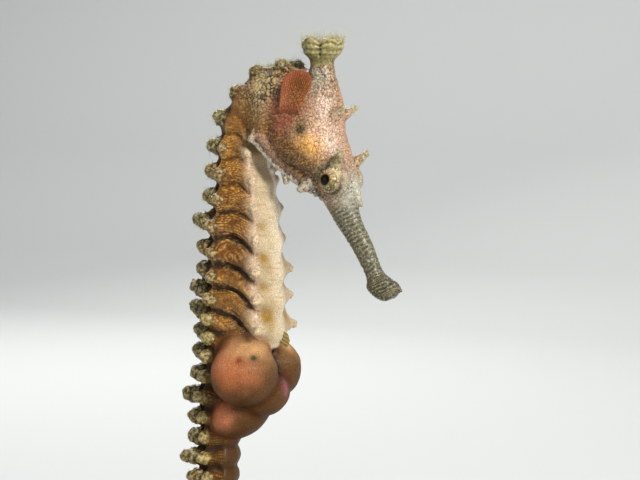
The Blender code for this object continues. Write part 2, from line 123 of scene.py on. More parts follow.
def rolled_tail(steps_per_ring=20):
    """Ring, x, z, heading and half thickness along the rolled end of the tail."""
    rings = np.arange(ROLL_START, LAST_RING + 1e-9, 1 / steps_per_ring)
    share = (rings - ROLL_START) / (LAST_RING - ROLL_START)
    step = np.interp(share, (0, 1), ROLL_RING_LENGTH) / steps_per_ring
    heading = so_far(np.interp(so_far(step), *zip(*ROLL_CURVATURE)) * step)
    _, back_x, back_z, belly_x, belly_z, _ = BODY[-1]
    x = (back_x + belly_x) / 2 + so_far(np.sin(heading) * step)
    z = (back_z + belly_z) / 2 - so_far(np.cos(heading) * step)
    return np.stack([rings, x, z, heading, np.interp(share, (0, 0.5, 1), TAIL_HALVES)], axis=1)


ROLL = rolled_tail()


def body_at(rings):
    """Back points, belly points and half widths of the sections at these rings."""
    upper = through(BODY, rings)
    x, z, heading, half = (np.interp(rings, ROLL[:, 0], ROLL[:, i]) for i in range(1, 5))
    reach = np.stack([np.cos(heading), np.sin(heading)], axis=1) * half[:, None]
    middle = np.stack([x, z], axis=1)
    rolled = (rings > ROLL_START)[:, None]
    back = np.where(rolled, middle - reach, upper[:, 0:2])
    belly = np.where(rolled, middle + reach, upper[:, 2:4])
    return back, belly, np.where(rolled[:, 0], half, upper[:, 4])


def outlines(ridges, per_side, squareness):
    """Closed sections through five ridges and their mirror images, one for each row of ridges."""
    corners = np.concatenate([ridges, ridges[:, 3:0:-1] * (1, -1)], axis=1)
    start, before, end, after = (np.roll(corners, k, axis=1)[:, :, None] for k in (0, 1, -1, -2))
    t = (np.arange(per_side) / per_side)[:, None]
    curve = 0.5 * (
        2 * start
        + (end - before) * t
        + (2 * before - 5 * start + 4 * end - after) * t**2
        + (3 * start - before - 3 * end + after) * t**3
    )
    straight = start * (1 - t) + end * t
    return (curve * (1 - squareness) + straight * squareness).reshape(len(ridges), -1, 2)


def unit(vectors):
    """Each vector made one long."""
    return vectors / np.linalg.norm(vectors, axis=-1, keepdims=True)


def swept(shape, top, under, half_width, swell):
    """The sections set between their top and under points and grown outwards by swell."""
    middle, half = (top + under)[:, None] / 2, (under - top)[:, None] / 2
    across = shape[..., 1] * half_width[:, None]
    points = np.insert(middle + shape[..., :1] * half, 1, across, axis=2)
    return points + unit(points - np.insert(middle, 1, 0, axis=2)) * swell[..., None]


# What the skin is drawn over. Each point also says which part it is of, how far along and how
# far round that part it lies, and which way those two grow.
forms = {key: [] for key in ("points", "faces", "part", "along", "around", "ways")}
RINGS, KNOB, HEAD, CROWN, POUCH, SPINE = range(6)


def add_form(points, faces, part, along, around, ways=0.0):
    first = sum(map(len, forms["points"]))
    forms["faces"] += [[first + i for i in face] for face in faces]
    forms["points"].append(points)
    forms["ways"].append(np.broadcast_to(ways, (len(points), 2, 3)))
    for key, value in (("part", part), ("along", along), ("around", around)):
        forms[key].append(np.broadcast_to(value, len(points)))


def tube_sides(rows, count):
    """The quads between closed rows of this many points."""
    index = np.arange(rows * count).reshape(rows, count)
    turned = np.roll(index, -1, axis=1)
    return np.stack([index[:-1], turned[:-1], turned[1:], index[1:]], axis=2).reshape(-1, 4)


def add_tube(points, part, along, around):
    """A closed tube through rows of points, capped at both ends."""
    rows, count, _ = points.shape
    last = (rows - 1) * count
    caps = [list(range(count))[::-1], list(range(last, last + count))]
    faces = tube_sides(rows, count).tolist() + caps
    onward = np.gradient(points, axis=0) / np.gradient(along)[:, None, None]
    sideways = (np.roll(points, -1, axis=1) - np.roll(points, 1, axis=1)) / 2
    sign = np.where(np.arange(count) < count / 2, 1.0, -1.0)  # around grows to the back, then falls
    sideways = sideways * (sign / np.gradient(around)[1])[:, None]
    ways = np.stack([onward, sideways], axis=2).reshape(-1, 2, 3)
    places = np.repeat(along, count), np.tile(around, rows)
    add_form(points.reshape(-1, 3), faces, part, *places, ways)


PER_SIDE = 14  # points from one ridge of a section to the next
PER_RING = 22  # sections
SIDE = np.arange(8 * PER_SIDE) / PER_SIDE
SIDE = np.minimum(SIDE, 8 - SIDE)  # 0 belly, 1 lower ridge, 2 side ridge, 3 upper ridge, 4 back

# Knobs stand on three ridges of each side, one on every ring; some stand out further.
# ridge, height, radius, the first ring that has a knob, and the first where it is full grown
KNOB_ROWS = {
    "lower": (1, 1.9, 1.05, 4, 8),
    "side": (2, 1.3, 1.2, 4, 5),
    "upper": (3, 2.35, 1.75, 0, 3),
}
LARGE_KNOB_RINGS = (7, 10, 11, 15, 18, 21, 24, 27, 30)
LEAST_KNOB = 0.25  # a lower one is left out
POUCH_RINGS = (11, 20)


def knob_height(row, ring):
    """In mm. The lower row has none beside the pouch, and the side row none behind it."""
    _, height, _, first, full_grown = KNOB_ROWS[row]
    beside_pouch = row == "lower" and POUCH_RINGS[0] <= ring < POUCH_RINGS[1]
    if ring < first or beside_pouch or (row == "side" and ring >= POUCH_RINGS[1]):
        return 0.0
    if ring < full_grown:
        return height * 0.45
    if ring in LARGE_KNOB_RINGS:
        height *= 1.5
    return height * max(1 - 1.4 * max(ring - ROLL_START, 0) / (LAST_RING - ROLL_START), 0)


def ridge_shapes(rings):
    """The trunk's section, which turns into the tail's behind the pouch."""
    share = ramp(rings, 15, 23)[:, None, None]
    return TRUNK_RIDGES * (1 - share) + TAIL_RIDGES * share


def bowed(rings, side):
    """The ring position as the furrows see it, with their bow across the flank."""
    bow = CRESCENT_BOW * np.sin(np.pi * held(side - 1))
    ring = np.round(rings)
    waver = 0.045 * np.sin(3.4 * side + 9.7 * ring) + 0.02 * np.sin(9 * side + 5.3 * ring)
    bow = bow * (1 + 0.25 * np.sin(7.1 * ring)) * ramp(rings, 1.5, 3.5) * (1 - ramp(rings, 11, 13))
    return rings + bow + waver * ramp(side, 0.8, 1.2)


def ring_relief(rings, side, ring_mm, thickness):
    """How far the skin stands out: rings swell, the furrows between them are narrow and deep."""
    place = bowed(rings, side)
    from_furrow = np.abs(place - np.round(place)) * ring_mm
    flank, behind = np.sin(np.pi * held(side - 1)), np.sin(np.pi * held(side - 2))
    strong = ramp(rings, 6.2, 7.6) * (1 - ramp(rings, 10.6, 11.6))
    depth = 0.06 + flank * (0.08 + 0.50 * strong) + 0.40 * behind + 0.16 * ramp(rings, 11, 14)
    swell = -np.cos(2 * np.pi * place) * RING_SWELL
    thin = np.minimum(1, thickness / 3.5) * (0.35 + 0.65 * ramp(rings, 1.8, 4))
    relief = (swell - depth * hump(from_furrow, 0, 0.46)) * thin
    crest = 0.30 + 0.45 * hump(rings - np.floor(rings), 0.5, 0.26)
    for row, (ridge, *_) in KNOB_ROWS.items():
        heights = np.array([knob_height(row, n) for n in range(LAST_RING + 1)])
        relief = relief + heights[rings.astype(int)] * hump(side, ridge, 0.30) * crest
    return relief


rings = np.linspace(0, LAST_RING, LAST_RING * PER_RING + 1)
back, belly, half_width = body_at(rings)
ring_mm = np.linalg.norm(np.gradient((back + belly) / 2, rings, axis=0), axis=1)
thickness = np.minimum(np.linalg.norm(belly - back, axis=1) / 2, half_width)
grid = np.broadcast_arrays(rings[:, None], SIDE[None], ring_mm[:, None], thickness[:, None])
shape = outlines(ridge_shapes(rings), PER_SIDE, 0.55)
tube = swept(shape, back, belly, half_width, ring_relief(*grid) - UNDER_SOLID)
neck_root = tube[0] * 0.97 + (1.3, 0, 1.0)  # carries the neck on into the head
add_tube(np.concatenate([[neck_root], tube]), RINGS, np.concatenate([[-0.3], rings]), SIDE)

# ---- knobs: blunt lumps of small granules on the ridges

lump_rng = np.random.default_rng(11)


def ball(subdivisions):
    """Points and faces of a ball of radius 1."""
    bm = bmesh.new()
    bmesh.ops.create_icosphere(bm, subdivisions=subdivisions, radius=1.0)
    points = np.array([v.co[:] for v in bm.verts])
    faces = [[v.index for v in f.verts] for f in bm.faces]
    bm.free()
    return points, faces


BALLS = {"large": ball(4), "small": ball(2)}


def add_ball(centre, radius, part, along, around, size="large"):
    points, faces = BALLS[size]
    add_form(points * radius + centre, faces, part, along, around)


def add_granules(centre, outward, radius, count, size, *place):
    """Small balls over the outer half of a larger one."""
    for _ in range(count):
        way = unit(lump_rng.normal(size=3))
        if way @ outward < -0.2:
            way -= 2 * (way @ outward) * outward
        grain = lump_rng.uniform(0.5, 1.3) * size
        add_ball(centre + way * (radius - grain * 0.35), grain, *place, "small")


for row, (ridge, _, full_radius, *_) in KNOB_ROWS.items():
    for ring in range(LAST_RING):
        height = knob_height(row, ring)
        if height < LEAST_KNOB:
            continue
        at = np.array([ring + 0.5])
        (back,), (belly,), (half_width,) = body_at(at)
        down, out = ridge_shapes(at)[0, ridge]
        middle, half = (back + belly) / 2, (belly - back) / 2
        size = min(1.0, min(np.linalg.norm(half), half_width) / 3.6)
        radius = full_radius * size * (0.6 + 0.4 * min(1, height / 1.3))
        grain = (0.22 if row == "lower" else 0.3) * size
        place = KNOB, ring + 0.5, ridge
        for sign in (1, -1):
            foot = np.insert(middle + down * half, 1, sign * out * half_width)
            outward = unit(foot - np.insert(middle, 1, 0))
            tip_radius = radius * 0.72
            tip = foot + outward * (height + 0.1 - tip_radius)
            waist = foot + outward * (height * 0.62 - radius * 0.62)
            add_ball(waist, radius * 0.92, *place)
            add_ball(tip, tip_radius, *place)
            add_granules(waist, outward, radius * 0.92, 38, grain, *place)
            add_granules(tip, outward, tip_radius, 28, grain * 0.9, *place)

# ---- head: a deep skull that narrows to a long tube of a snout, with a small mouth at its end

# station, top x, top z, underside x, underside z, half width
HEAD_LINES = (
    (0, 11.2, 39.3, 4.8, 26.8, 5.2),
    (1, 16.8, 38.0, 5.3, 24.9, 5.5),
    (2, 18.9, 33.6, 6.5, 22.5, 5.6),
    (3, 19.2, 29.2, 8.9, 20.9, 5.3),
    (4, 20.1, 26.3, 11.5, 19.8, 4.7),
    (5, 21.2, 22.6, 14.1, 17.7, 3.8),
    (7, 21.9, 15.3, 17.6, 12.9, 2.1),
    (9, 24.7, 9.3, 21.5, 7.3, 1.68),
    (10, 26.2, 5.7, 23.3, 3.9, 1.6),
    (11, 27.6, 4.4, 23.3, 2.2, 2.05),
    (12, 29.5, 2.7, 25.2, 0.6, 2.1),
    (13, 28.9, 1.2, 26.8, 0.2, 1.3),
)
HEAD_RIDGES = np.array(((1.0, 0.0), (0.70, 0.62), (0.12, 1.0), (-0.58, 0.72), (-1.0, 0.0)))
SNOUT_RIDGES = np.array(((1.0, 0.0), (0.71, 0.71), (0.0, 1.0), (-0.71, 0.71), (-1.0, 0.0)))

PER_STATION = 26  # sections
last_station = HEAD_LINES[-1][0]
stations = np.linspace(0, last_station, last_station * PER_STATION + 1)
lines = through(HEAD_LINES, stations)
share = np.interp(stations, (4.5, 7.0), (0, 1))[:, None, None]
shape = outlines(HEAD_RIDGES * (1 - share) + SNOUT_RIDGES * share, PER_SIDE, 0.15)
swell = np.full((len(stations), len(SIDE)), -UNDER_SOLID)
add_tube(swept(shape, lines[:, 0:2], lines[:, 2:4], lines[:, 4], swell), HEAD, stations, SIDE)

EYE = (18.5, 3.75, 20.4)
EYE_RADIUS = 1.95
ORBIT = (18.5, 2.75, 20.4)
ORBIT_RADIUS = 2.62
LID_BEADS, LID_RADIUS, LID_OUT = 48, 1.78, 0.86  # the beaded rim round the eye
GILL_COVER = (11.4, 4.5, 27.6)
GILL_COVER_RADII = (5.2, 1.2, 3.9)
GILL_COVER_PITCH = math.radians(52)


def add_ellipsoid(centre, radii, part, along, around, pitch=0.0, fullness=2.0):
    """A closed rounded form. A fullness over 2 makes it squarer."""
    points, faces = ball(6)
    points = np.sign(points) * np.abs(points) ** (2 / fullness)
    points /= (np.abs(points) ** fullness).sum(axis=1)[:, None] ** (1 / fullness)
    x, y, z = (points * radii).T
    x, z = x * math.cos(pitch) + z * math.sin(pitch), z * math.cos(pitch) - x * math.sin(pitch)
    add_form(np.stack([x, y, z], axis=1) + centre, faces, part, along, around)


def add_chain(start, end, radii, *place, granules=0, grain=0.2):
    """A blunt tapering spine or a low ridge: balls from start to end."""
    start, end = np.array(start, float), np.array(end, float)
    count = max(4, int(np.linalg.norm(end - start) / 0.18))
    for share in np.linspace(0, 1, count):
        radius = np.interp(share, np.linspace(0, 1, len(radii)), radii)
        add_ball(start + (end - start) * share, radius, *place, "small")
    outward, middle = unit(end - start), (start + end) / 2
    add_granules(end, outward, radii[-1], granules, grain, *place)
    add_granules(middle, outward, radii[len(radii) // 2], 3 * granules, grain, *place)


for sign in (1, -1):
    flip = np.array((1, sign, 1))
    add_ball(ORBIT * flip, ORBIT_RADIUS, HEAD, 4.9, 2)
    for turn in np.linspace(0, 2 * math.pi, LID_BEADS, endpoint=False):
        rim = np.array((math.cos(turn) * LID_RADIUS, LID_OUT, math.sin(turn) * LID_RADIUS))
        add_ball(EYE * flip + rim * flip, lump_rng.uniform(0.24, 0.42), HEAD, 4.9, 2, "small")
    add_ellipsoid(GILL_COVER * flip, GILL_COVER_RADII, HEAD, 1.5, 2, GILL_COVER_PITCH)
    lower_edge = ((4.4, 4.6, 26.8), (7.5, 4.0, 23.3), (12.4, 2.8, 19.5))
    for start, end in zip(lower_edge, lower_edge[1:]):
        add_chain(start * flip, end * flip, (0.46, 0.46), SPINE, 0.5, 1)
        inner = np.array((1.2, -0.5, 1.0))
        add_chain((start + inner) * flip, (end + inner) * flip, (1.3, 1.3), HEAD, 1.5, 1)
    add_ellipsoid((6.6, 2.9, 31.5) * flip, (4.6, 2.3, 5.2), RINGS, 0.5, 2)
    for share in np.linspace(0, 1, 5):  # small warts under the eye
        wart = np.array((13.3 + 3.6 * share, 3.1 - 0.9 * share, 19.2 - 2.3 * share))
        add_ball(wart * flip, 0.55 - 0.12 * share, SPINE, 4.5, 2)
    # root, tip, radii and granules of each spine
    for root, tip, radii, granules in (
        ((18.6, 2.4, 22.6), (20.75, 5.2, 24.8), (1.6, 0.95, 0.55), 9),  # over the eye
        ((17.6, 1.6, 31.0), (20.15, 2.45, 32.6), (1.2, 0.7, 0.42), 6),  # brow
        ((14.2, 2.6, 20.0), (12.7, 3.9, 18.9), (1.3, 1.0, 0.62), 6),  # cheek
        ((9.6, 2.4, 22.4), (9.7, 3.2, 20.2), (1.2, 0.95, 0.62), 6),  # throat
        ((7.4, 2.2, 23.8), (7.1, 3.1, 21.8), (1.1, 0.85, 0.55), 5),
        ((5.4, 2.8, 30.8), (3.9, 4.8, 27.3), (1.3, 0.9, 0.65), 6),  # shoulder
    ):
        add_chain(root * flip, tip * flip, radii, SPINE, 4, 3, granules=granules)
add_chain((19.6, 0, 22.6), (21.95, 0, 16.6), (1.5, 1.3, 0.95, 0.62), HEAD, 5.9, 4)  # nose ridge
add_chain((20.6, 0, 18.6), (22.35, 0, 16.3), (0.8, 0.5), HEAD, 6.2, 4)
add_chain((25.0, 0, 3.0), (23.5, 0, 2.5), (0.9, 0.36), HEAD, 11.0, 0)  # chin
add_chain((28.2, 0, 3.0), (29.75, 0, 2.1), (1.0, 0.36), HEAD, 12.0, 4)  # upper lip

# ---- crown: a tall column that opens into a cup with five points

CROWN_X = 14.9
CROWN_COLUMNS = 168
CROWN_POINTS = 5
CROWN_TURN = math.pi  # one petal faces back
# step, height, radius, and how deep the folds between the five petals are
CROWN_LEVELS = (
    (0, 31.5, 2.6, 0.0),
    (1, 34.5, 3.2, 0.02),
    (2, 36.4, 2.85, 0.03),
    (3, 38.2, 2.3, 0.04),
    (4, 39.8, 2.05, 0.05),
    (5, 40.7, 2.2, 0.12),
    (6, 41.3, 2.8, 0.22),
    (7, 42.0, 3.35, 0.28),
    (8, 42.9, 3.65, 0.32),
    (9, 43.7, 3.65, 0.34),
    (10, 44.4, 3.2, 0.32),
    (11, 44.0, 2.5, 0.24),
    (12, 42.6, 0.9, 0.02),
)
PER_LEVEL = 16  # rows of points
last_level = CROWN_LEVELS[-1][0]
levels = np.linspace(0, last_level, last_level * PER_LEVEL + 1)
heights, radii, depth = through(CROWN_LEVELS, levels).T[:, :, None]
turn = np.linspace(0, 2 * math.pi, CROWN_COLUMNS, endpoint=False)[None]
petal = np.abs(np.cos(CROWN_POINTS * (turn - CROWN_TURN) / 2)) ** 0.6  # 0 between two petals
radius = radii * (1 - depth * (1 - petal))
rise = 0.9 * (petal - 1) * ramp(levels, 7, 9)[:, None]
column = np.stack([CROWN_X + radius * np.cos(turn), radius * np.sin(turn), heights + rise], axis=2)
crown_side = np.linspace(0, 8, CROWN_COLUMNS, endpoint=False)
add_tube(column, CROWN, levels, np.minimum(crown_side, 8 - crown_side))

# ---- brood pouch: two swollen lobes with a slit between them, and a slanting roll under them

for sign in (1, -1):
    add_ellipsoid((2.1, 4.3 * sign, -13.0), (5.7, 5.4, 5.4), POUCH, 0, 0, fullness=2.3)
    # a shoulder that carries the trunk's side on into the lobe
    add_ellipsoid((1.2, 3.3 * sign, -9.2), (4.8, 3.3, 3.4), POUCH, 0, 0)
add_ellipsoid((3.2, 0.0, -16.4), (4.8, 5.5, 4.5), POUCH, 0, 0)
add_ellipsoid((-0.9, 0.0, -20.6), (6.1, 5.6, 4.05), POUCH, 0, 0, pitch=math.radians(-38))

# ---- drawing the skin over the forms

VOXEL = 0.16  # mm


def put(name, data):
    """A new object in the scene: a mesh, a lamp or a camera."""
    made = bpy.data.objects.new(name, data)
    bpy.context.scene.collection.objects.link(made)
    return made


def placed(points):
    """From the forms' millimetres to where the animal hangs over its stand."""
    return (points + (BODY_X, 0, BODY_Z)) * MM


faces = forms.pop("faces")
points, part, along, around, ways = (np.concatenate(rows) for rows in forms.values())
mesh = bpy.data.meshes.new("forms")
mesh.from_pydata(points.tolist(), [], faces)
rough = put("forms", mesh)
remesh = rough.modifiers.new("one_surface", "REMESH")
remesh.mode = "VOXEL"
remesh.voxel_size = VOXEL
smooth = rough.modifiers.new("soften", "SMOOTH")
smooth.factor = 0.5
smooth.iterations = 3
drawn = bpy.data.meshes.new_from_object(rough.evaluated_get(bpy.context.evaluated_depsgraph_get()))
bpy.data.objects.remove(rough)
bpy.data.meshes.remove(mesh)


def array_of(collection, key, width):
    """One property of all of a mesh's points, edges or corners, as rows."""
    values = np.empty(len(collection) * width)
    collection.foreach_get(key, values)
    return values.reshape(-1, width)


skin_points = array_of(drawn.vertices, "co", 3)
edges = array_of(drawn.edges, "vertices", 2).astype(int)
edge_ends, edge_others = edges.ravel(), edges[:, ::-1].ravel()
neighbours = np.bincount(edge_ends, minlength=len(skin_points))


def near(values):
    """The mean of each point's neighbours on the skin."""
    return np.bincount(edge_ends, values[edge_others], len(skin_points)) / neighbours


def spread(values, rounds):
    """Each value evened out with its neighbours' on the skin."""
    values = np.asarray(values, float)
    for _ in range(rounds):
        values = (values + near(values)) / 2
    return values


def ease(share, rounds):
    """Draws the skin taut over its hollows where share is 1, without the smallest lumps."""
    for _ in range(rounds):
        for axis in range(3):
            column = skin_points[:, axis]
            skin_points[:, axis] = column + (near(column) - column) * share * 0.6


# where each point of the skin lies on the form under it
tree = kdtree.KDTree(len(points))
for index, point in enumerate(points.tolist()):
    tree.insert(point, index)
tree.balance()
nearest = np.array([tree.find(point)[1] for point in skin_points.tolist()])
offset = skin_points - points[nearest]
onward, sideways = ways[nearest, 0], ways[nearest, 1]
# how far the offset goes along both ways at once
a, b, c, d, e = (np.sum(p * q, axis=1) for p, q in (
    (onward, onward), (onward, sideways), (sideways, sideways), (offset, onward), (offset, sideways)
))
scale = a * c - b * b
known = scale > 1e-9
scale = np.where(known, scale, 1)
part, along, around = part[nearest], along[nearest], around[nearest]
along = along + np.clip(np.where(known, (c * d - b * e) / scale, 0), -0.1, 0.1)
around = around + np.clip(np.where(known, (a * e - b * d) / scale, 0), -0.1, 0.1)

# taut skin over the pouch, and soft feet to the spines of the head
off_slit = 1 - 0.85 * hump(skin_points[:, 1], 0, 1.1) * (skin_points[:, 0] > 2)
ease(spread(part == POUCH, 14) * off_slit, 60)
pouch_top = spread((part == POUCH) & (skin_points[:, 2] > -10.6), 40)
ease(held(1.5 * pouch_top) * off_slit, 180)
ease(spread(part == HEAD, 6), 22)
ease(spread((part == RINGS) & (along < 3.5), 10), 40)
drawn.vertices.foreach_set("co", skin_points.ravel())
normals = array_of(drawn.vertex_normals, "vector", 3)

# ---- the fine relief of the skin: beads, wrinkles, folds and pimples, mostly under 0.15 mm


def clouds(size):
    """Soft noise from -1 to 1 with lumps of this size in mm."""
    return np.array([noise.noise(point) for point in (skin_points / size).tolist()])


def cells(size):
    """Distances to the nearest and the next of scattered points this far apart, as shares of it."""
    found = [noise.voronoi(point)[0] for point in (skin_points / size).tolist()]
    return np.array(found)[:, :2].T


x, y, z = skin_points.T
ringed = (part == RINGS) | (part == KNOB)
on_knob = (part == KNOB).astype(float)
bare = (part == RINGS).astype(float)
length_here = np.interp(along, rings, ring_mm)
place = bowed(along, around)
from_furrow = np.abs(place - np.round(place)) * length_here
trunk = ramp(along, 2.4, 3.6) * (1 - ramp(along, 11.3, 12.2)) * ringed
tail = ramp(along, 11.3, 12.2) * ringed
nape = (1 - ramp(along, 2.0, 3.4)) * ringed
flank = ramp(around, 0.95, 1.25) * (1 - ramp(around, 2.0, 2.3)) * bare
on_spine = part == SPINE
on_head = (part == HEAD) | on_spine
on_crown = (part == CROWN) * ramp(along, 3.4, 4.6)
skull = on_head * (1 - ramp(along, 5.6, 6.8)) + (part == CROWN) - on_crown
snout = on_head * ramp(along, 5.6, 6.8)
on_pouch = spread(part == POUCH, 26)
belly_side = 1 - ramp(around, 0.78, 1.02)

# the furrows between the rings, where painted shade goes
furrow_shade = bare * hump(from_furrow, 0, 0.52 + 0.3 * clouds(3.2))
row = place * length_here / 0.52 + 0.35 * clouds(1.3)
column = around * 4.6 / 0.62 + 0.37 * np.round(row) + 0.9 * clouds(0.9)
bead = (0.5 + 0.5 * np.cos(2 * np.pi * row)) * (0.6 + 0.4 * np.cos(2 * np.pi * column))
bead = bead * flank * (1 - furrow_shade) * (trunk + 0.5 * tail) * held(0.55 + 1.2 * clouds(1.7))
closest, second = cells(0.62)
seams = (1 - ramp(second - closest, 0.02, 0.2)) * (skull + nape)
pimples = 0.5 - cells(0.38)[0]
folds = np.abs(place - np.round(place))
folds = hump(folds, 0.05, 0.02) + hump(folds, 0.13, 0.02) + 0.7 * hump(folds, 0.3, 0.02)
folds = trunk * belly_side * folds * ramp(clouds(2.0), -0.15, 0.35)
eye_out = np.hypot(x - EYE[0], z - EYE[2])
eye_turn = np.arctan2(z - EYE[2], x - EYE[0])
lid = hump(eye_out, 2.5, 0.75) * skull * ramp(np.abs(y), 3.2, 4.2)

relief = 0.11 * bead
relief += on_knob * (0.16 * pimples + 0.20 * clouds(0.9))
relief -= 0.07 * seams
relief += (skull + nape) * 0.07 * clouds(1.1)
relief += (part == CROWN) * (1 - on_crown) * (0.14 * clouds(1.3) - 0.03 * seams)
relief += on_spine * (0.13 * clouds(0.7) + 0.08 * pimples)
wrinkle = np.sin(2 * np.pi * (along * 3.5 / 0.78 + 0.5 * clouds(1.4)))
relief += snout * (0.055 * wrinkle * held(0.6 + clouds(1.1)) + 0.06 * clouds(0.5))
relief -= 0.035 * folds
relief += bare * (trunk + tail) * (1 - belly_side) * (0.07 * clouds(0.9) + 0.05 * pimples)
rim_folds = np.cos(2 * np.pi * (along * 0.75 + 0.35 * clouds(1.6)))
relief += on_crown * (0.05 * pimples + 0.06 * clouds(0.6) + 0.07 * rim_folds * ramp(along, 5.5, 7))
relief += on_pouch * (0.02 * pimples + 0.05 * clouds(2.4))
relief += lid * 0.03 * np.sin(26 * eye_turn)

skin_points += normals * relief[:, None]
hollow = sum((spread(skin_points[:, i], 10) - skin_points[:, i]) * normals[:, i] for i in range(3))
hollow = np.clip(hollow / 0.06, -1, 1)  # 1 in a crevice, -1 on a crest
hollow *= 1 - 0.75 * held(trunk * belly_side * bare)
drawn.vertices.foreach_set("co", placed(skin_points).ravel())
drawn.update()
drawn.materials.clear()
drawn.shade_smooth()
skin = put("skin", drawn)

# ---- live skin: thin, wet and a little translucent, so it shines in small glints, with pigment
# in patches that follow the rings, and painted shade in its hollows and painted highlights on its crests


def linear(colour):
    """A colour given as sRGB hex, as the linear values that shaders take."""
    values = (int(colour[i : i + 2], 16) / 255 for i in (1, 3, 5))
    return (*(v / 12.92 if v <= 0.04045 else ((v + 0.055) / 1.055) ** 2.4 for v in values), 1.0)


def set_node(node, settings, links=None):
    """Settings are a node's properties and sockets, with colours in hex; links feed its sockets."""
    for key, value in settings.items():
        value = linear(value) if str(value).startswith("#") else value
        if isinstance(key, str) and hasattr(node, key):
            setattr(node, key, value)
        else:
            node.inputs[key].default_value = value
    for key, source in (links or {}).items():
        node.id_data.links.new(source, node.inputs[key])


def add_node(material, kind, settings, links=None, output=0):
    """Adds one node with its settings and links, and gives the output to use."""
    node = material.node_tree.nodes.new(f"ShaderNode{kind}")
    set_node(node, settings, links)
    return node.outputs[output]


def new_material(name):
    material = bpy.data.materials.new(name)
    material.use_nodes = True
    return material, material.node_tree.nodes["Principled BSDF"]


# A Mix node of colours has sockets for its share, the colour below and the one above, and gives
# the mixed one. A Map Range's sockets 1 to 4 are the ends of what comes in and of what goes out.
RGBA = {"data_type": "RGBA"}
SHARE, BELOW, ABOVE, MIXED = 0, 6, 7, 2


def add_coat(material, below, mask, pigment, pattern=None):
    """A coat of pigment, painted shade or painted highlight over the colour below it, as far as its mask and
    pattern let it lie.
    """
    share = add_node(material, "Attribute", {"attribute_name": mask}, output="Fac")
    if pattern:
        share = add_node(material, "Math", {"operation": "MULTIPLY"}, {0: share, 1: pattern})
    return add_node(material, "Mix", RGBA | {ABOVE: pigment}, {SHARE: share, BELOW: below}, MIXED)


def write(mesh, name, values):
    """A number at each point of a mesh, for its material to read."""
    mesh.attributes.new(name, "FLOAT", "POINT").data.foreach_set("value", values)


wet_skin, shader = new_material("wet_skin")
here = add_node(wet_skin, "TexCoord", {}, output="Object")
# soft brown blotches, 1.4 mm apart
blotches = add_node(wet_skin, "TexNoise", {"Scale": 0.7 / MM, "Detail": 4}, {"Vector": here})
colour = add_node(
    wet_skin, "Mix", RGBA | {BELOW: "#4A2408", ABOVE: "#7E4C13"}, {SHARE: blotches}, MIXED
)
# thin dark winding lines between the fields of the head and nape, 0.9 mm across, bolder in places
warp = add_node(wet_skin, "TexNoise", {"Scale": 1.1 / MM, "Detail": 1}, {"Vector": here}, "Color")
warped = add_node(
    wet_skin, "VectorMath", {"operation": "MULTIPLY_ADD", 1: (0.7 * MM,) * 3}, {0: warp, 2: here}
)
fields = add_node(
    wet_skin, "TexVoronoi", {"feature": "DISTANCE_TO_EDGE", "Scale": 1.15 / MM}, {"Vector": warped}
)
thin_lines = add_node(wet_skin, "MapRange", {1: 0.05, 2: 0.2, 3: 1.0, 4: 0.0}, {0: fields})
bold = add_node(wet_skin, "TexNoise", {"Scale": 0.33 / MM, "Detail": 2}, {"Vector": here})
boldness = add_node(wet_skin, "MapRange", {1: 0.36, 2: 0.56, 3: 0.3, 4: 1.0}, {0: bold})
lines = add_node(wet_skin, "Math", {"operation": "MULTIPLY"}, {0: thin_lines, 1: boldness})
# pale gold flecks that run down and forwards over the neck and shoulders, 0.2 by 0.6 mm
turned = add_node(
    wet_skin, "Mapping", {"Rotation": (0, math.radians(-40), 0), "Scale": (0.28, 1, 1)}, {"Vector": here}
)
streaks = add_node(wet_skin, "TexNoise", {"Scale": 3 / MM, "Detail": 2}, {"Vector": turned})
flecks = add_node(wet_skin, "MapRange", {1: 0.55, 2: 0.68, 3: 0.0, 4: 0.8}, {0: streaks})
# pale specks of 0.2 mm, partly painted glints on the snout and round the eye
speckle = add_node(wet_skin, "TexNoise", {"Scale": 2.6 / MM, "Detail": 1}, {"Vector": here})
specks = add_node(wet_skin, "MapRange", {1: 0.58, 2: 0.68, 3: 0.0, 4: 0.8}, {0: speckle})
patterns = {"mosaic": lines, "fleck": flecks, "specks_and_glints": specks}


def blots(*patches):
    """Soft round patches on both flanks: strength, middle on the left one, and radius in mm."""
    return sum(
        strength * np.exp(-(((x - cx) ** 2 + (np.abs(y) - cy) ** 2 + (z - cz) ** 2) / radius**2))
        for strength, cx, cy, cz, radius in patches
    )


strong = ramp(along, 6.2, 7.6) * (1 - ramp(along, 10.8, 11.8))
upper_side = 1 - belly_side
# The crease of the mouth and the hollows between the side and upper knob rows, where the pit coat paints
# shade.
mouth = snout * hump(0.80 * (z - 1.35) - 0.60 * (x - 28.4), 0, 0.16) * ramp(x, 26.6, 27.2)
deep = bare * hump(around, 2.5, 0.36) * (0.35 + 0.65 * hump(from_furrow, 0, 1.0))
lower_knob = on_knob * (1 - ramp(around, 1.2, 1.5))
upper_knob = on_knob - lower_knob
neck = (skull + nape + trunk * (1 - ramp(along, 3.5, 5.5))) * ~on_spine
high_spine = ramp(z + 0.5 * x, 29.0, 31.0)
jaw_line = (
    (9.1, 5.4, 31.0), (9.1, 5.3, 28.6), (10.0, 5.2, 26.2),
    (11.6, 5.0, 24.2), (13.4, 4.6, 22.6), (15.2, 4.2, 21.4),
)
jaw_band = held(blots(*((1.2, *point, 2.05) for point in jaw_line)))
# Painted shade in the groove between the pouch's lobes, over the lobes and the belly skin seen in it.
slit = (hump(y, 0, 0.6) + hump(y, 0, 1.4) * bare) * ramp(x, 3.0, 5.0)
slit = slit * ramp(z, -16.5, -15.0) * (1 - ramp(z, -9.0, -8.4))
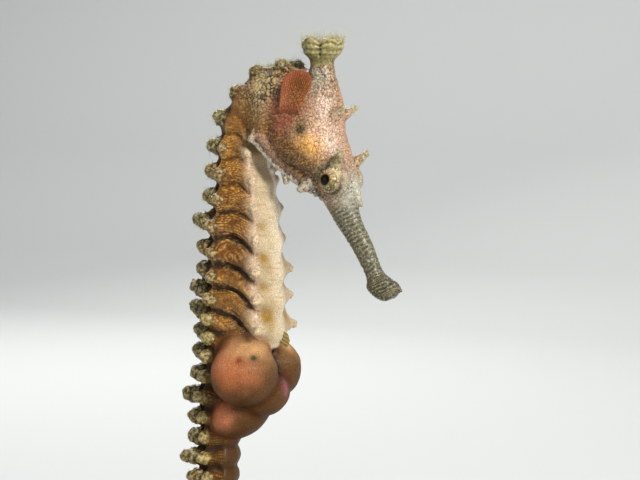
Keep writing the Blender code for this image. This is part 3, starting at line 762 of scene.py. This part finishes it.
# each coat from the flesh out, pigment and painted shade and highlights alike: its mask, its colour, and
# where it lies
COATS = (
    ("gold", "#7C511B",
        trunk * (1 - ramp(along, 4.2, 6.4) + 0.7 * ramp(along, 8.4, 9.6)) * upper_side * bare),
    ("tail", "#4A2C07", tail),
    ("olive_back", "#46350F", ringed * ramp(around, 2.9, 3.3)),
    ("belly", "#CFBEA0", trunk * belly_side * bare),
    # The belly's olive-gold stains and patches, with painted shade that darkens the cream strip towards both
    # its edges.
    ("belly_stain_and_shade", "#967126", trunk * belly_side * held(
        0.3 * ramp(-z, -10.0, 0.0) * (0.6 + clouds(4.0)) + 0.3 * ramp(np.abs(y - 0.4), 1.0, 3.0)
        + 0.9 * strong * hump(around, 0.88, 0.3) * hump(from_furrow, 0, 0.8)
        + (0.55 + 0.5 * clouds(1.4)) * blots((1, 5.9, 3.0, -3.0, 2.2), (0.7, 5.4, 3.3, 5.4, 1.5))
    )),
    ("plate", "#CDB294", lower_knob
        + trunk * ramp(along, 3.4, 4.8) * hump(around, 1.02, 0.17) * bare * (1 - 0.7 * strong * furrow_shade)),
    ("neck", "#8A5A22", nape),
    ("cream", "#D2BA86",
        (nape + skull) * held(blots((1.4, 7.0, 4.6, 35.6, 3.4), (0.5, 7.6, 5.0, 32.2, 2.0)))),
    ("skull", "#B0856A", skull * (1 - blots((1, 6.9, 4.6, 35.8, 3.0)))),
    ("blush", "#A25A3C", neck * held(blots(
        (0.4, 7.4, 5.0, 31.6, 2.4), (0.7, 13.6, 5.0, 33.0, 1.9),
        (1, 9.6, 5.0, 34.0, 2.4), (0.6, 10.6, 4.5, 37.4, 1.8),
    ))),
    # Pale pinkish forehead skin, painted brighter as a highlight over the forehead.
    ("pale", "#E0BCA2", skull * held(blots((1.1, 17.6, 4.0, 28.0, 3.2), (0.5, 16.5, 3.0, 33.5, 2.0)))),
    # Golden cheek skin, painted brighter as a highlight on the cheek.
    ("cheek_gold_and_highlight", "#E8A64E", skull * blots((1, 14.6, 5.0, 26.0, 2.7))),
    ("tan", "#623500", neck * jaw_band * held(0.95 + 0.5 * clouds(1.2))),
    ("fin_root", "#90442E", neck * held(blots(
        (1.2, 10.8, 5.4, 31.0, 1.8), (0.8, 9.0, 5.4, 32.4, 1.5), (0.6, 9.3, 5.4, 28.9, 1.6)
    ))),
    ("jaw_shade", "#3A2404", 0.7 * skull * held(blots((1, 11.4, 5.0, 23.4, 1.9), (1, 14.4, 4.6, 21.6, 1.6)))),
    ("keel", "#ABA093", on_spine * (1 - high_spine)),
    ("spine", "#B0A686", on_spine * high_spine * held(
        0.15 + blots((1.2, 21.0, 5.2, 25.0, 1.8), (1.2, 20.4, 2.5, 32.8, 1.5))
    )),
    ("spot", "#1E1006", neck * held(blots((1.6, 13.5, 5.2, 29.0, 0.85)))
        + 0.75 * snout * held(blots((1.3, 23.0, 1.6, 9.2, 0.55), (1, 22.4, 1.6, 10.4, 0.35)))),
    ("green", "#6E5520", on_spine * blots((1, 19.2, 4.6, 24.8, 2.2)) + neck * held(
        blots((0.8, 13.6, 5.2, 30.4, 0.8), (1, 19.2, 3.4, 24.2, 0.9), (0.7, 19.4, 2.0, 33.4, 1.0))
        + 0.8 * ramp(z, 38.0, 39.2) * (part == RINGS) * (0.6 + clouds(1.5))
    )),
    ("lid", "#6B6440", lid),
    ("snout", "#5D5B48", snout),
    ("ash", "#B4B2A0", (skull + 0.6 * snout) * held(
        blots((1, 14.9, 1.5, 37.6, 2.2)) + blots((1.6, 20.8, 0.8, 18.8, 3.0)) * (0.85 + 0.5 * clouds(0.8))
    )),
    ("snout_tip", "#454330", snout * ramp(along, 9.0, 11.6)),
    ("pouch", "#AE602C", on_pouch),
    # Painted shade: darkens the pouch everywhere but the lit middles of its lobes and roll.
    ("pouch_painted_shade", "#4E2900", on_pouch * held(1.2 + 0.3 * clouds(2.2) - blots(
        (1.3, 1.4, 9.6, -12.0, 3.7), (0.9, 0.8, 8.4, -8.6, 2.8),
        (0.4, 6.6, 7.4, -12.0, 2.2), (1.2, -2.4, 5.6, -20.8, 2.6),
    ))),
    # Pink flesh tone, painted brighter as a highlight on the lit middles of the lobes and the roll.
    ("pouch_pink_and_highlight", "#C77655", on_pouch * (0.8 + 0.4 * clouds(1.2)) * held(blots(
        (0.8, 0.2, 8.6, -10.8, 2.6), (0.35, 4.6, 8.8, -12.6, 2.4), (1, -2.0, 5.4, -20.6, 2.2)
    ))),
    ("pouch_rim", "#D2A06C", on_pouch * (0.8 + 0.5 * clouds(1.6)) * held(blots(
        (0.8, 5.2, 4.8, -8.8, 2.7), (0.8, 2.6, 7.2, -8.2, 2.6), (0.3, -0.6, 8.4, -8.4, 2.0)
    ))),
    # The slit's dark colour is painted shade in the groove between the lobes.
    ("slit", "#1E0E08", slit),
    ("slit_flesh", "#82404E", on_pouch * hump(y, 0, 0.9) * hump(z, -15.6, 1.4) * ramp(x, 1.0, 3.0)),
    ("pouch_spot", "#2E2614", on_pouch * held(blots((1.4, 5.6, 7.3, -9.7, 0.5)))),
    ("pouch_streak", "#7C2E10", on_pouch * blots((1, 3.5, 8.6, -10.1, 0.7))),
    ("crown", "#A59D64", on_crown),
    ("knob", "#684A1C", on_knob * (1 - lower_knob)),
    ("knob_pale", "#A08A48",
        on_knob * hump(around, 2, 0.5) * ramp(along, 9.5, 12.5) * held(0.75 + 0.6 * clouds(1.0))),
    ("moss", "#4C421A", 0.5 * on_crown + upper_knob * held(0.7 + 1.3 * clouds(5.0))
        * held(ramp(around, 2.5, 3.0) + 0.5 * ramp(along, 10, 13))),
    # Painted shadow along the furrows of the flank and tail.
    ("under_lip", "#3A1F06",
        bare * ramp(around, 1.05, 1.3) * hump(from_furrow, 0, 0.9) * (trunk * strong + 0.5 * tail)),
    # Painted shade in the hollows between the knob rows and in the crease of the mouth.
    ("pit_shade", "#1A0F04", deep * (trunk + tail) + mouth),
    # Painted shade in the furrows between the rings.
    ("furrow_shade", "#1E0F03", furrow_shade * ramp(around, 1.0, 1.2) * (trunk * (0.12 + 0.88 * strong) + 0.6 * tail)),
    # Painted shade along the fine creases of the belly.
    ("fold_line_shade", "#A0855A", folds),
    ("mosaic", "#2E180A", 0.22 * trunk * hump(around, 1.05, 0.2) + 0.4 * on_crown
        + (0.36 + blots((1.2, 6.9, 4.6, 35.6, 3.6)) + 0.25 * ramp(z, 33.0, 36.0))
        * (skull + nape) * (1 - 0.7 * jaw_band)),
    ("fleck", "#BE8B39", 0.7 * skull * jaw_band
        + bare * (nape + trunk) * upper_side * (1 - 0.6 * strong) * (1 - blots((1, 7.0, 4.6, 35.6, 3.6)))),
    # Pale specks of the skin that also stand in as painted glints.
    ("specks_and_glints", "#D3CBB4", 0.4 * snout + 0.5 * skull * blots((1, 17.5, 4.0, 20.5, 4.0))),
    # Painted highlight: a glint on the upper fore part of the eye's rim.
    ("lid_painted_glint", "#E0CC9C", lid * ramp(np.cos(eye_turn - math.radians(62)), 0.72, 1.0)),
    # Painted shade in the crease under the eye's rim.
    ("lid_crease_shade", "#33200F",
        skull * hump(eye_out, 2.15, 0.2) * ramp(np.abs(y), 3.2, 4.0) * ramp(-np.sin(eye_turn), -0.2, 0.6)),
    # The gold beads of the flank, painted brighter as their wet glints.
    ("bead", "#DC9836", 0.85 * bead),
    # Painted shade in every hollow of the skin.
    ("crevice_shade", "#241507", 0.85 * hollow * (1 - 0.7 * spread(lower_knob, 14)) * (1 - 0.4 * on_knob)),
    ("bars", "#38332B", 0.7 * snout * held(-wrinkle) * held(0.45 + 1.3 * clouds(1.0))),
    # Painted highlight on every crest and ridge of the skin, strongest on knobs and the crown.
    ("crest", "#D8C48F", -hollow * (0.5 + 0.5 * held(1 + clouds(1.2))) * (1 - 0.8 * lid) * (
        0.26 + 0.2 * on_knob + 0.24 * on_crown + 0.1 * skull * (1 - jaw_band) - 0.22 * tail * bare
    )),
)
# how many rounds soften a mask's edge, where it isn't 5
SOFTENING = {
    "bead": 0, "crevice_shade": 0, "crest": 0, "furrow_shade": 2, "spot": 2, "knob": 2, "moss": 2, "fold_line_shade": 2,
    "pouch_spot": 2, "slit": 2,
}
for name, pigment, values in COATS:
    write(drawn, name, spread(held(values), SOFTENING.get(name, 5)))
    colour = add_coat(wet_skin, colour, name, pigment, patterns.get(name))
# pigment grains, 0.2 mm apart
grains = add_node(wet_skin, "TexNoise", {"Scale": 5.2 / MM, "Detail": 3}, {"Vector": here})
grain_shade = add_node(wet_skin, "MapRange", {1: 0.3, 2: 0.7, 3: 0.62, 4: 1.32}, {0: grains})
colour = add_node(wet_skin, "VectorMath", {"operation": "SCALE"}, {0: colour, 3: grain_shade})
bump = add_node(wet_skin, "Bump", {"Strength": 0.5, "Distance": 0.12 * MM}, {"Height": grains})
# the pouch and the tail are drier and softer than the wet rings
write(drawn, "dull", spread(held(on_pouch + 0.7 * tail * bare + 2 * slit), 5))
dull = add_node(wet_skin, "Attribute", {"attribute_name": "dull"}, output="Fac")
matt = add_node(wet_skin, "MapRange", {1: 0.0, 2: 1.0, 3: 0.34, 4: 0.66}, {0: dull})
film = add_node(wet_skin, "MapRange", {1: 0.0, 2: 1.0, 3: 0.2, 4: 0.03}, {0: dull})
set_node(
    shader,
    {
        "IOR": 1.4, "Specular IOR Level": 0.3, "Coat Roughness": 0.2, "Subsurface Weight": 0.12,
        "Subsurface Radius": (1.0, 0.5, 0.25), "Subsurface Scale": 0.8 * MM,
    },
    {"Base Color": colour, "Normal": bump, "Roughness": matt, "Coat Weight": film},
)
drawn.materials.append(wet_skin)

FLESH = (
    "neck", "trunk_upper", "trunk_lower", "tail_root", "tail_upper", "tail_bend", "tail_curl",
    "tail_tip", "head", "snout", "jaw", "coronet", "brood_pouch",
)
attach(skin, "root")
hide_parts(*FLESH)


# ==== Eyes ====================================================================================
# Each eye stands out sideways in its socket and moves on its own: a ball with a small dark pupil
# under a clear bulge, and a gold iris with fine rays.

EYE_TURN = math.radians(11)  # it looks a little back
EYE_LIFT = math.radians(9)  # and a little up
BULGE = 0.07  # of the radius, over the pupil
IRIS_RAYS = 31

# living eye: glassy and wet, with one sharp glint; rays and mottling of 0.4 mm colour its iris
wet_eye, eye_shader = new_material("wet_eye")
EYE_LAYERS = ("from_pupil", "turn", "low")
angle, turn, low = (
    add_node(wet_eye, "Attribute", {"attribute_name": name}, output="Fac") for name in EYE_LAYERS
)
here = add_node(wet_eye, "TexCoord", {}, output="Object")
many = add_node(wet_eye, "Math", {"operation": "MULTIPLY", 1: IRIS_RAYS}, {0: turn})
rays = add_node(wet_eye, "Math", {"operation": "SINE"}, {0: many})
mottle = add_node(wet_eye, "TexNoise", {"Scale": 2.6 / MM, "Detail": 2}, {"Vector": here})
iris = add_node(wet_eye, "Mix", RGBA | {BELOW: "#B29565", ABOVE: "#6A6844"}, {SHARE: low}, MIXED)
for source, start, full, most, pigment in (
    (rays, -0.2, 1.0, 0.8, "#57421E"),
    (mottle, 0.46, 0.38, 0.7, "#CDB88C"),
    (mottle, 0.56, 0.64, 0.8, "#3A2B14"),
):
    share = add_node(wet_eye, "MapRange", {1: start, 2: full, 3: 0.0, 4: most}, {0: source})
    iris = add_node(wet_eye, "Mix", RGBA | {ABOVE: pigment}, {SHARE: share, BELOW: iris}, MIXED)
bands = add_node(wet_eye, "ValToRGB", {}, {0: angle})
stops = bands.node.color_ramp.elements
stops[0].position, stops[1].position = 0.45, 0.48
stops[0].color, stops[1].color = linear("#100401"), linear("#2A1808")
for position, band in ((0.53, "#8E7448"), (0.60, "#5E4826"), (0.68, "#A08252")):
    stops.new(position).color = linear(band)
outer = add_node(wet_eye, "MapRange", {1: 0.56, 2: 0.66, 3: 0.0, 4: 1.0}, {0: angle})
colour = add_node(wet_eye, "Mix", RGBA, {SHARE: outer, BELOW: bands, ABOVE: iris}, MIXED)
gloss = {"Roughness": 0.3, "Specular IOR Level": 0.04, "Coat Weight": 0.32, "Coat Roughness": 0.03}
set_node(eye_shader, gloss, {"Base Color": colour})

for side, sign in (("left", 1), ("right", -1)):
    bm = bmesh.new()
    bmesh.ops.create_uvsphere(bm, u_segments=96, v_segments=64, radius=1.0)
    layers = [bm.verts.layers.float.new(name) for name in EYE_LAYERS]
    for vert in bm.verts:
        from_pupil = vert.co.angle(Vector((0, 0, 1)))
        values = from_pupil, math.atan2(vert.co.y, vert.co.x), held(0.45 - 1.3 * vert.co.y)
        for layer, value in zip(layers, values):
            vert[layer] = value
        out = EYE_RADIUS * (1 + BULGE * math.exp(-((from_pupil / 0.40) ** 4)))
        gaze = Vector((vert.co.x, vert.co.z, vert.co.y)) * out
        gaze.rotate(Matrix.Rotation(EYE_TURN, 3, "Z") @ Matrix.Rotation(EYE_LIFT, 3, "X"))
        vert.co = placed((np.array(gaze) + EYE) * (1, sign, 1))
    bmesh.ops.recalc_face_normals(bm, faces=bm.faces)
    ball_mesh = bpy.data.meshes.new(f"eyeball_{side}")
    bm.to_mesh(ball_mesh)
    bm.free()
    ball_mesh.shade_smooth()
    ball_mesh.materials.append(wet_eye)
    eye = put(f"eyeball_{side}", ball_mesh)
    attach(eye, "root")
    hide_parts(f"eye_{side}")


# ==== Fins ====================================================================================
# Thin skin on soft rays: one fan behind each gill cover, a low one on the back where the trunk
# ends, and a tiny one before the pouch. A seahorse has no others.

# fin membrane: a film of wet skin that lets some light through, blotched and speckled, with
# paler rays and darker skin between them
membrane, membrane_shader = new_material("fin_membrane")
here = add_node(membrane, "TexCoord", {}, output="Object")
# blotches 0.7 mm apart, and pale specks 0.2 mm apart
film = add_node(membrane, "TexNoise", {"Scale": 1.5 / MM, "Detail": 4}, {"Vector": here})
colour = add_node(membrane, "Mix", RGBA | {BELOW: "#522208", ABOVE: "#86481C"}, {SHARE: film}, MIXED)
specks = add_node(membrane, "TexNoise", {"Scale": 4.2 / MM, "Detail": 1}, {"Vector": here})
specks = add_node(membrane, "MapRange", {1: 0.58, 2: 0.7, 3: 0.0, 4: 0.7}, {0: specks})
# a fine pale network over its lower half, in meshes of 0.5 mm
meshes = add_node(
    membrane, "TexVoronoi", {"feature": "DISTANCE_TO_EDGE", "Scale": 2.1 / MM}, {"Vector": here}
)
net = add_node(membrane, "MapRange", {1: 0.03, 2: 0.14, 3: 0.8, 4: 0.0}, {0: meshes})
for name, pigment, pattern in (
    ("hind", "#9A5038", None),
    ("middle", "#451E02", None),
    ("fore", "#7E4C22", None),
    ("between", "#3A1A06", None),
    ("ray", "#B07038", None),
    ("root", "#84402E", None),
    ("net", "#C07C48", net),
    ("tint", "#C27E38", specks),
):
    colour = add_coat(membrane, colour, name, pigment, pattern)
# the fins of the back and belly have no red in them
tint = add_node(membrane, "Attribute", {"attribute_name": "tint"}, output="Fac")
colour = add_node(membrane, "Mix", RGBA | {BELOW: "#96804C"}, {SHARE: tint, ABOVE: colour}, MIXED)
bump = add_node(membrane, "Bump", {"Strength": 0.5, "Distance": 0.1 * MM}, {"Height": film})
set_node(
    membrane_shader,
    {
        "Roughness": 0.4, "IOR": 1.35, "Subsurface Weight": 0.2,
        "Subsurface Radius": (1.0, 0.6, 0.4), "Subsurface Scale": 0.6 * MM,
    },
    {"Base Color": colour, "Normal": bump},
)


FIN_STEPS = 36  # rows of points from foot to edge


def add_fin(name, node, foot, edge, sideways, rays, half_thickness, sunk=0.0):
    """A pleated fin between its foot and its free edge, given from the left as rows of points."""
    steps, count = FIN_STEPS, len(foot)
    s = np.linspace(0, 1, steps)[:, None, None]
    across = np.linspace(0, 1, count)
    sheet = foot[None] * (1 - s) + edge[None] * s
    sheet = sheet - sideways * (sunk * hump(s, 0, 0.14))
    pleat = np.cos(2 * np.pi * rays * across)[None, :, None]
    rim = np.sqrt(np.clip(1 - np.abs(2 * across - 1) ** 8, 0.05, 1))[None, :, None]
    taper = (1 - 0.6 * s) * rim * np.where(s > 0.985, 0.3, 1.0)
    offset = sideways * (half_thickness * taper * (1 + 0.45 * pleat))
    points = np.concatenate([(sheet + offset).reshape(-1, 3), (sheet - offset).reshape(-1, 3)])
    index = np.arange(steps * count).reshape(steps, count)
    other = index + steps * count
    loop = np.concatenate([index[0], index[1:, -1], index[-1, -2::-1], index[-2:0:-1, 0]])
    turned = np.roll(loop, -1)
    quads = np.concatenate([np.stack(corners, -1).reshape(-1, 4) for corners in (
        (index[:-1, :-1], index[:-1, 1:], index[1:, 1:], index[1:, :-1]),
        (other[:-1, :-1], other[1:, :-1], other[1:, 1:], other[:-1, 1:]),
        (turned, loop, loop + steps * count, turned + steps * count),
    )])
    fin_mesh = bpy.data.meshes.new(name)
    fin_mesh.from_pydata(placed(points).tolist(), [], quads.tolist())
    out, on_ray = s[..., 0], pleat[..., 0]
    for key, values in (
        ("tint", float(name.startswith("pectoral"))),
        ("net", 0.75 - 0.6 * ramp(out, 0.4, 0.8)),
        ("ray", 0.3 * held(on_ray) * ramp(out, 0.15, 0.5)),
        ("between", 0.3 * held(-on_ray) * ramp(out, 0.25, 0.6)),
        ("middle", hump(2 * across, 1.3, 0.6) * hump(out, 0.5, 0.3)),
        ("root", 1 - ramp(out, 0.06, 0.42)),
        ("hind", held(ramp(1 - across, 0.55, 0.95) + 0.6 * ramp(out, 0.75, 1.0))),
        ("fore", ramp(across, 0.62, 0.9) * (0.4 + 0.6 * held(on_ray)) * ramp(out, 0.2, 0.5)),
    ):
        write(fin_mesh, key, np.tile(np.broadcast_to(values, (steps, count)).ravel(), 2))
    fin_mesh.shade_smooth()
    fin_mesh.materials.append(membrane)
    fin = put(name, fin_mesh)
    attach(fin, "root")
    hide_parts(node)


PECTORAL_ROOT = (11.4, 6.2, 31.2)
PECTORAL_LENGTH = 8.6
PECTORAL_FOOT = 3.1
PECTORAL_LEAN = math.radians(13)
PECTORAL_SPREAD = math.radians(27)
PECTORAL_INSET = math.radians(12)
t = np.linspace(-1, 1, 61)  # from the hind edge of a fin to its fore edge
for side, sign in (("left", 1), ("right", -1)):
    angle = PECTORAL_LEAN + t * PECTORAL_SPREAD / 2
    scallops = 0.03 * np.cos(15 * math.pi * t) ** 2
    arch = np.sqrt(1 - t**2)
    reach = PECTORAL_LENGTH * (0.55 + 0.45 * arch - scallops)
    flip = np.array((1, sign, 1))
    inwards = np.array((0, -math.sin(PECTORAL_INSET), math.cos(PECTORAL_INSET)))
    foot = PECTORAL_ROOT + np.stack([t * PECTORAL_FOOT / 2, 0 * t, -0.4 * arch], axis=1)
    edge = foot + np.stack([np.sin(angle) * reach, 0 * t, 0 * t], axis=1)
    edge = edge + (np.cos(angle) * reach)[:, None] * inwards
    normal = np.array((0, math.cos(PECTORAL_INSET), math.sin(PECTORAL_INSET)))
    node = f"pectoral_fin_{side}"
    add_fin(f"pectoral_fan_{side}", node, foot * flip, edge * flip, normal * flip, 15, 0.22, sunk=2.2)

for name, node, first, last, height, on_back, rays in (
    ("back_fin", "dorsal_fin", 9.3, 12.3, 2.2, True, 17),
    ("belly_fin", "anal_fin", 10.45, 10.95, 0.9, False, 4),
):
    back, belly, _ = body_at(np.linspace(first, last, len(t)))
    start, other = (back, belly) if on_back else (belly, back)
    outward = unit(start - other)
    reach = height * (1 - 0.55 * t**2) * (1 - 0.06 * np.cos(2 * np.pi * rays * (t + 1) / 2))
    foot = np.insert(start - outward * 0.3, 1, 0, axis=1)
    edge = np.insert(start + outward * (reach + 0.5)[:, None], 1, 0, axis=1)
    add_fin(name, node, foot, edge, np.array((0, 1.0, 0)), rays, 0.2)


# ==== Growth ==================================================================================
# Fine pale filaments of algae and skin grow on the crown, the brow and eye spines and the knobs
# of the back. They are soft threads, tapering from 0.06 mm, rooted in the skin.

thread_rng = np.random.default_rng(23)
FILAMENT_STEPS = 5
FILAMENT_RADIUS = 0.03
FILAMENT_LENGTHS = (0.12, 1.7)  # the shortest and the longest
ROOT_DEPTH = 0.04

upward = np.clip(0.4 + normals[:, 2], 0, None)
knob_tops = on_knob * ramp(around, 2.6, 3.0) * held(0.3 - hollow)
roots, lengths, lean = [], [], []
# where they grow, how many, length in mm and its spread, and how far they lean up
for weight, count, length, length_spread, up in (
    (on_crown * ramp(z, 42.0, 44.0) * upward, 420, 0.95, 0.45, 0.9),
    (on_crown * ramp(z, 40.8, 42.5), 160, 0.35, 0.15, 0.3),
    (knob_tops * (1 - ramp(along, 5, 9)), 1400, 0.5, 0.25, 0.35),
    (knob_tops * ramp(along, 5, 9) * (1 - ramp(along, 20, 30)), 1300, 0.34, 0.14, 0.2),
    (on_spine * held(-hollow) * ramp(z, 22, 24) * ramp(x, 16, 18), 130, 0.42, 0.2, 0.5),
    (nape * ramp(z, 36, 38.5) * upward, 160, 0.45, 0.2, 0.5),
):
    weight = np.clip(weight, 0, None)
    roots.append(thread_rng.choice(len(weight), size=count, p=weight / weight.sum()))
    lengths.append(np.clip(thread_rng.normal(length, length_spread, count), *FILAMENT_LENGTHS))
    lean.append(np.full(count, up))
roots, lengths, lean = (np.concatenate(rows) for rows in (roots, lengths, lean))
count = len(roots)
way = unit(normals[roots] + lean[:, None] * (0, 0, 1) + thread_rng.normal(0, 0.45, (count, 3)))
bend = thread_rng.normal(0, 0.5, (count, 3)) + (0, 0, 0.1)
across = unit(np.cross(way, thread_rng.normal(size=(count, 3))))
# four levels: threads, the steps of a thread, the three corners of a step, and x, y and z
start, way, bend, across, square, lengths = (
    rows[:, None, None] for rows in (
        skin_points[roots], way, bend, across, np.cross(way, across), lengths[:, None]
    )
)
step = np.linspace(0, 1, FILAMENT_STEPS)[:, None, None]
turn = (2 * math.pi * np.arange(3) / 3)[:, None]
middle = start + (way * step + bend * step**2) * lengths - way * ROOT_DEPTH
radius = FILAMENT_RADIUS * (1 - 0.75 * step)
threads = middle + (across * np.cos(turn) + square * np.sin(turn)) * radius
per = FILAMENT_STEPS * 3
base = (np.arange(count) * per)[:, None, None]
faces = (tube_sides(FILAMENT_STEPS, 3) + base).reshape(-1, 4).tolist()
faces += (np.arange(per - 3, per) + base).reshape(-1, 3).tolist()
growth_mesh = bpy.data.meshes.new("growth")
growth_mesh.from_pydata(placed(threads.reshape(-1, 3)).tolist(), [], faces)
# its roots' places on a flat lay-out of the skin: along the animal, and round it
lay_u = 0.01 + 0.97 * np.where(y[roots] > 0, around[roots], 8 - around[roots]) / 8
lay_v = 0.01 + 0.80 * along[roots] / LAST_RING
lay_v = np.where(part[roots] == CROWN, 0.86 + 0.1 * along[roots] / last_level, lay_v)
corner_u = np.tile((0, 0.003, 0.0015), FILAMENT_STEPS)
corner_v = np.repeat(np.linspace(0, 0.003, FILAMENT_STEPS), 3)
flat_uv = np.stack([lay_u[:, None] + corner_u, lay_v[:, None] + corner_v], axis=2).reshape(-1, 2)
loop_vertices = array_of(growth_mesh.loops, "vertex_index", 1).astype(int).ravel()
bake_map = growth_mesh.uv_layers.new(name="OFBake")
bake_map.data.foreach_set("uv", flat_uv[loop_vertices].ravel())
write(growth_mesh, "to_tip", np.tile(np.repeat(step.ravel(), 3), count))
write(growth_mesh, "shade", np.repeat(thread_rng.uniform(0, 1, count), per))
growth_mesh.shade_smooth()

# algae threads: soft, damp and translucent, olive where they are rooted and pale at the tips
algae, algae_shader = new_material("algae_threads")
to_tip, shade = (
    add_node(algae, "Attribute", {"attribute_name": name}, output="Fac") for name in ("to_tip", "shade")
)
olive = add_node(algae, "Mix", RGBA | {BELOW: "#6F6834", ABOVE: "#968C50"}, {SHARE: shade}, MIXED)
pale = add_node(algae, "Mix", RGBA | {BELOW: "#A9B47A", ABOVE: "#CFCF9E"}, {SHARE: shade}, MIXED)
colour = add_node(algae, "Mix", RGBA, {SHARE: to_tip, BELOW: olive, ABOVE: pale}, MIXED)
soft = {"Roughness": 0.6, "Subsurface Weight": 0.3, "Subsurface Scale": 0.3 * MM}
set_node(algae_shader, soft, {"Base Color": colour})
growth_mesh.materials.append(algae)
growth = put("growth", growth_mesh)
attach(growth, "root")


# ==== Stand ===================================================================================
# A block of black acrylic, and a short ground steel rod whose cup carries the lowest bend of the
# tail. All three are the solids themselves, in better finishes.

# acrylic, cast and satin-polished: near black, with faint scuffs of about 1 mm that dull its gloss
acrylic, acrylic_shader = new_material("satin_black_acrylic")
here = add_node(acrylic, "TexCoord", {}, output="Object")
scuffs = add_node(acrylic, "TexNoise", {"Scale": 0.9 / MM, "Detail": 5}, {"Vector": here})
black = add_node(acrylic, "Mix", RGBA | {BELOW: "#121314", ABOVE: "#1D1E20"}, {SHARE: scuffs}, MIXED)
satin = add_node(acrylic, "MapRange", {1: 0.3, 2: 0.7, 3: 0.24, 4: 0.36}, {0: scuffs})
set_node(acrylic_shader, {"IOR": 1.49}, {"Base Color": black, "Roughness": satin})
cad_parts["stand_base"].material_slots[0].material = acrylic

# stainless steel, ground on a lathe: fine rings 0.06 mm apart round the rod, which soften its shine
steel, steel_shader = new_material("ground_stainless_steel")
here = add_node(steel, "TexCoord", {}, output="Object")
lathe = add_node(
    steel, "TexWave",
    {"wave_type": "BANDS", "bands_direction": "Z", "Scale": 5 / MM, "Distortion": 2.0, "Detail": 3},
    {"Vector": here}, "Fac",
)
grey = add_node(steel, "Mix", RGBA | {BELOW: "#A7A8AA", ABOVE: "#C6C7C9"}, {SHARE: lathe}, MIXED)
bump = add_node(steel, "Bump", {"Strength": 0.2, "Distance": 0.03 * MM}, {"Height": lathe})
set_node(steel_shader, {"Metallic": 1.0, "Roughness": 0.28}, {"Base Color": grey, "Normal": bump})
for name in ("stand_rod", "stand_cup"):
    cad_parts[name].material_slots[0].material = steel


# ==== Floor, light and camera =================================================================
# A pale studio: a paper floor that curves up into a wall with a lamp of its own, a soft lamp in
# front of the animal's face, and weaker ones at its other side and behind its back.

# how far back and how high the paper runs, in metres
PAPER = ((-1.2, 0.0), (0.5, 0.0), (0.62, 0.02), (0.72, 0.08), (0.78, 0.18), (0.8, 0.4), (0.8, 1.6))
PAPER_HALF_WIDTH = 2

corners = [(side * PAPER_HALF_WIDTH, *place) for side in (-1, 1) for place in PAPER]
strips = [(i, i + len(PAPER), i + len(PAPER) + 1, i + 1) for i in range(len(PAPER) - 1)]
floor_mesh = bpy.data.meshes.new("floor")
floor_mesh.from_pydata(corners, [], strips)
floor_mesh.shade_smooth()
floor = put("floor", floor_mesh)
# matt paper: pale grey, even and without any gloss
paper, paper_shader = new_material("matt_paper")
set_node(paper_shader, {"Base Color": "#D9DAD8", "Roughness": 0.9})
floor_mesh.materials.append(paper)


def add_lamp(name, azimuth, height, distance, size, watts, target=(0, 0, 0.08)):
    """A square soft lamp that faces its target."""
    angle = math.radians(azimuth)
    away = Vector((math.sin(angle) * distance, -math.cos(angle) * distance, height))
    lamp = bpy.data.lights.new(name, "AREA")
    lamp.size, lamp.energy = size, watts
    holder = put(name, lamp)
    holder.location = Vector(target) + away
    holder.rotation_euler = (-away).to_track_quat("-Z", "Y").to_euler()


add_lamp("key_lamp", azimuth=62, height=0.20, distance=0.38, size=0.12, watts=2.2)
add_lamp("fill_lamp", azimuth=-35, height=0.15, distance=0.6, size=0.4, watts=0.45)
add_lamp("rim_lamp", azimuth=-140, height=0.30, distance=0.5, size=0.25, watts=1.2)
add_lamp("wall_lamp", 0, height=0.5, distance=0.5, size=0.6, watts=3.8, target=(-0.3, 0.75, 0.35))
world = bpy.data.worlds.new("studio")
bpy.context.scene.world = world
world.use_nodes = True
set_node(world.node_tree.nodes["Background"], {"Color": "#E8ECEF", "Strength": 0.28})
bpy.context.scene.view_settings.view_transform = "Standard"

AIM = Vector((0.0059, 0.0, 0.0802))
CAMERA_AZIMUTH, CAMERA_HEIGHT = math.radians(27), math.radians(4)
CAMERA_DISTANCE = 0.302
ahead, up = math.cos(CAMERA_HEIGHT), math.sin(CAMERA_HEIGHT)
away = Vector((math.sin(CAMERA_AZIMUTH) * ahead, -math.cos(CAMERA_AZIMUTH) * ahead, up))
lens = bpy.data.cameras.new("camera")
lens.lens = 100
lens.clip_start = 0.01
camera = put("camera", lens)
camera.location = AIM + away * CAMERA_DISTANCE
camera.rotation_euler = away.to_track_quat("Z", "Y").to_euler()
bpy.context.scene.camera = camera
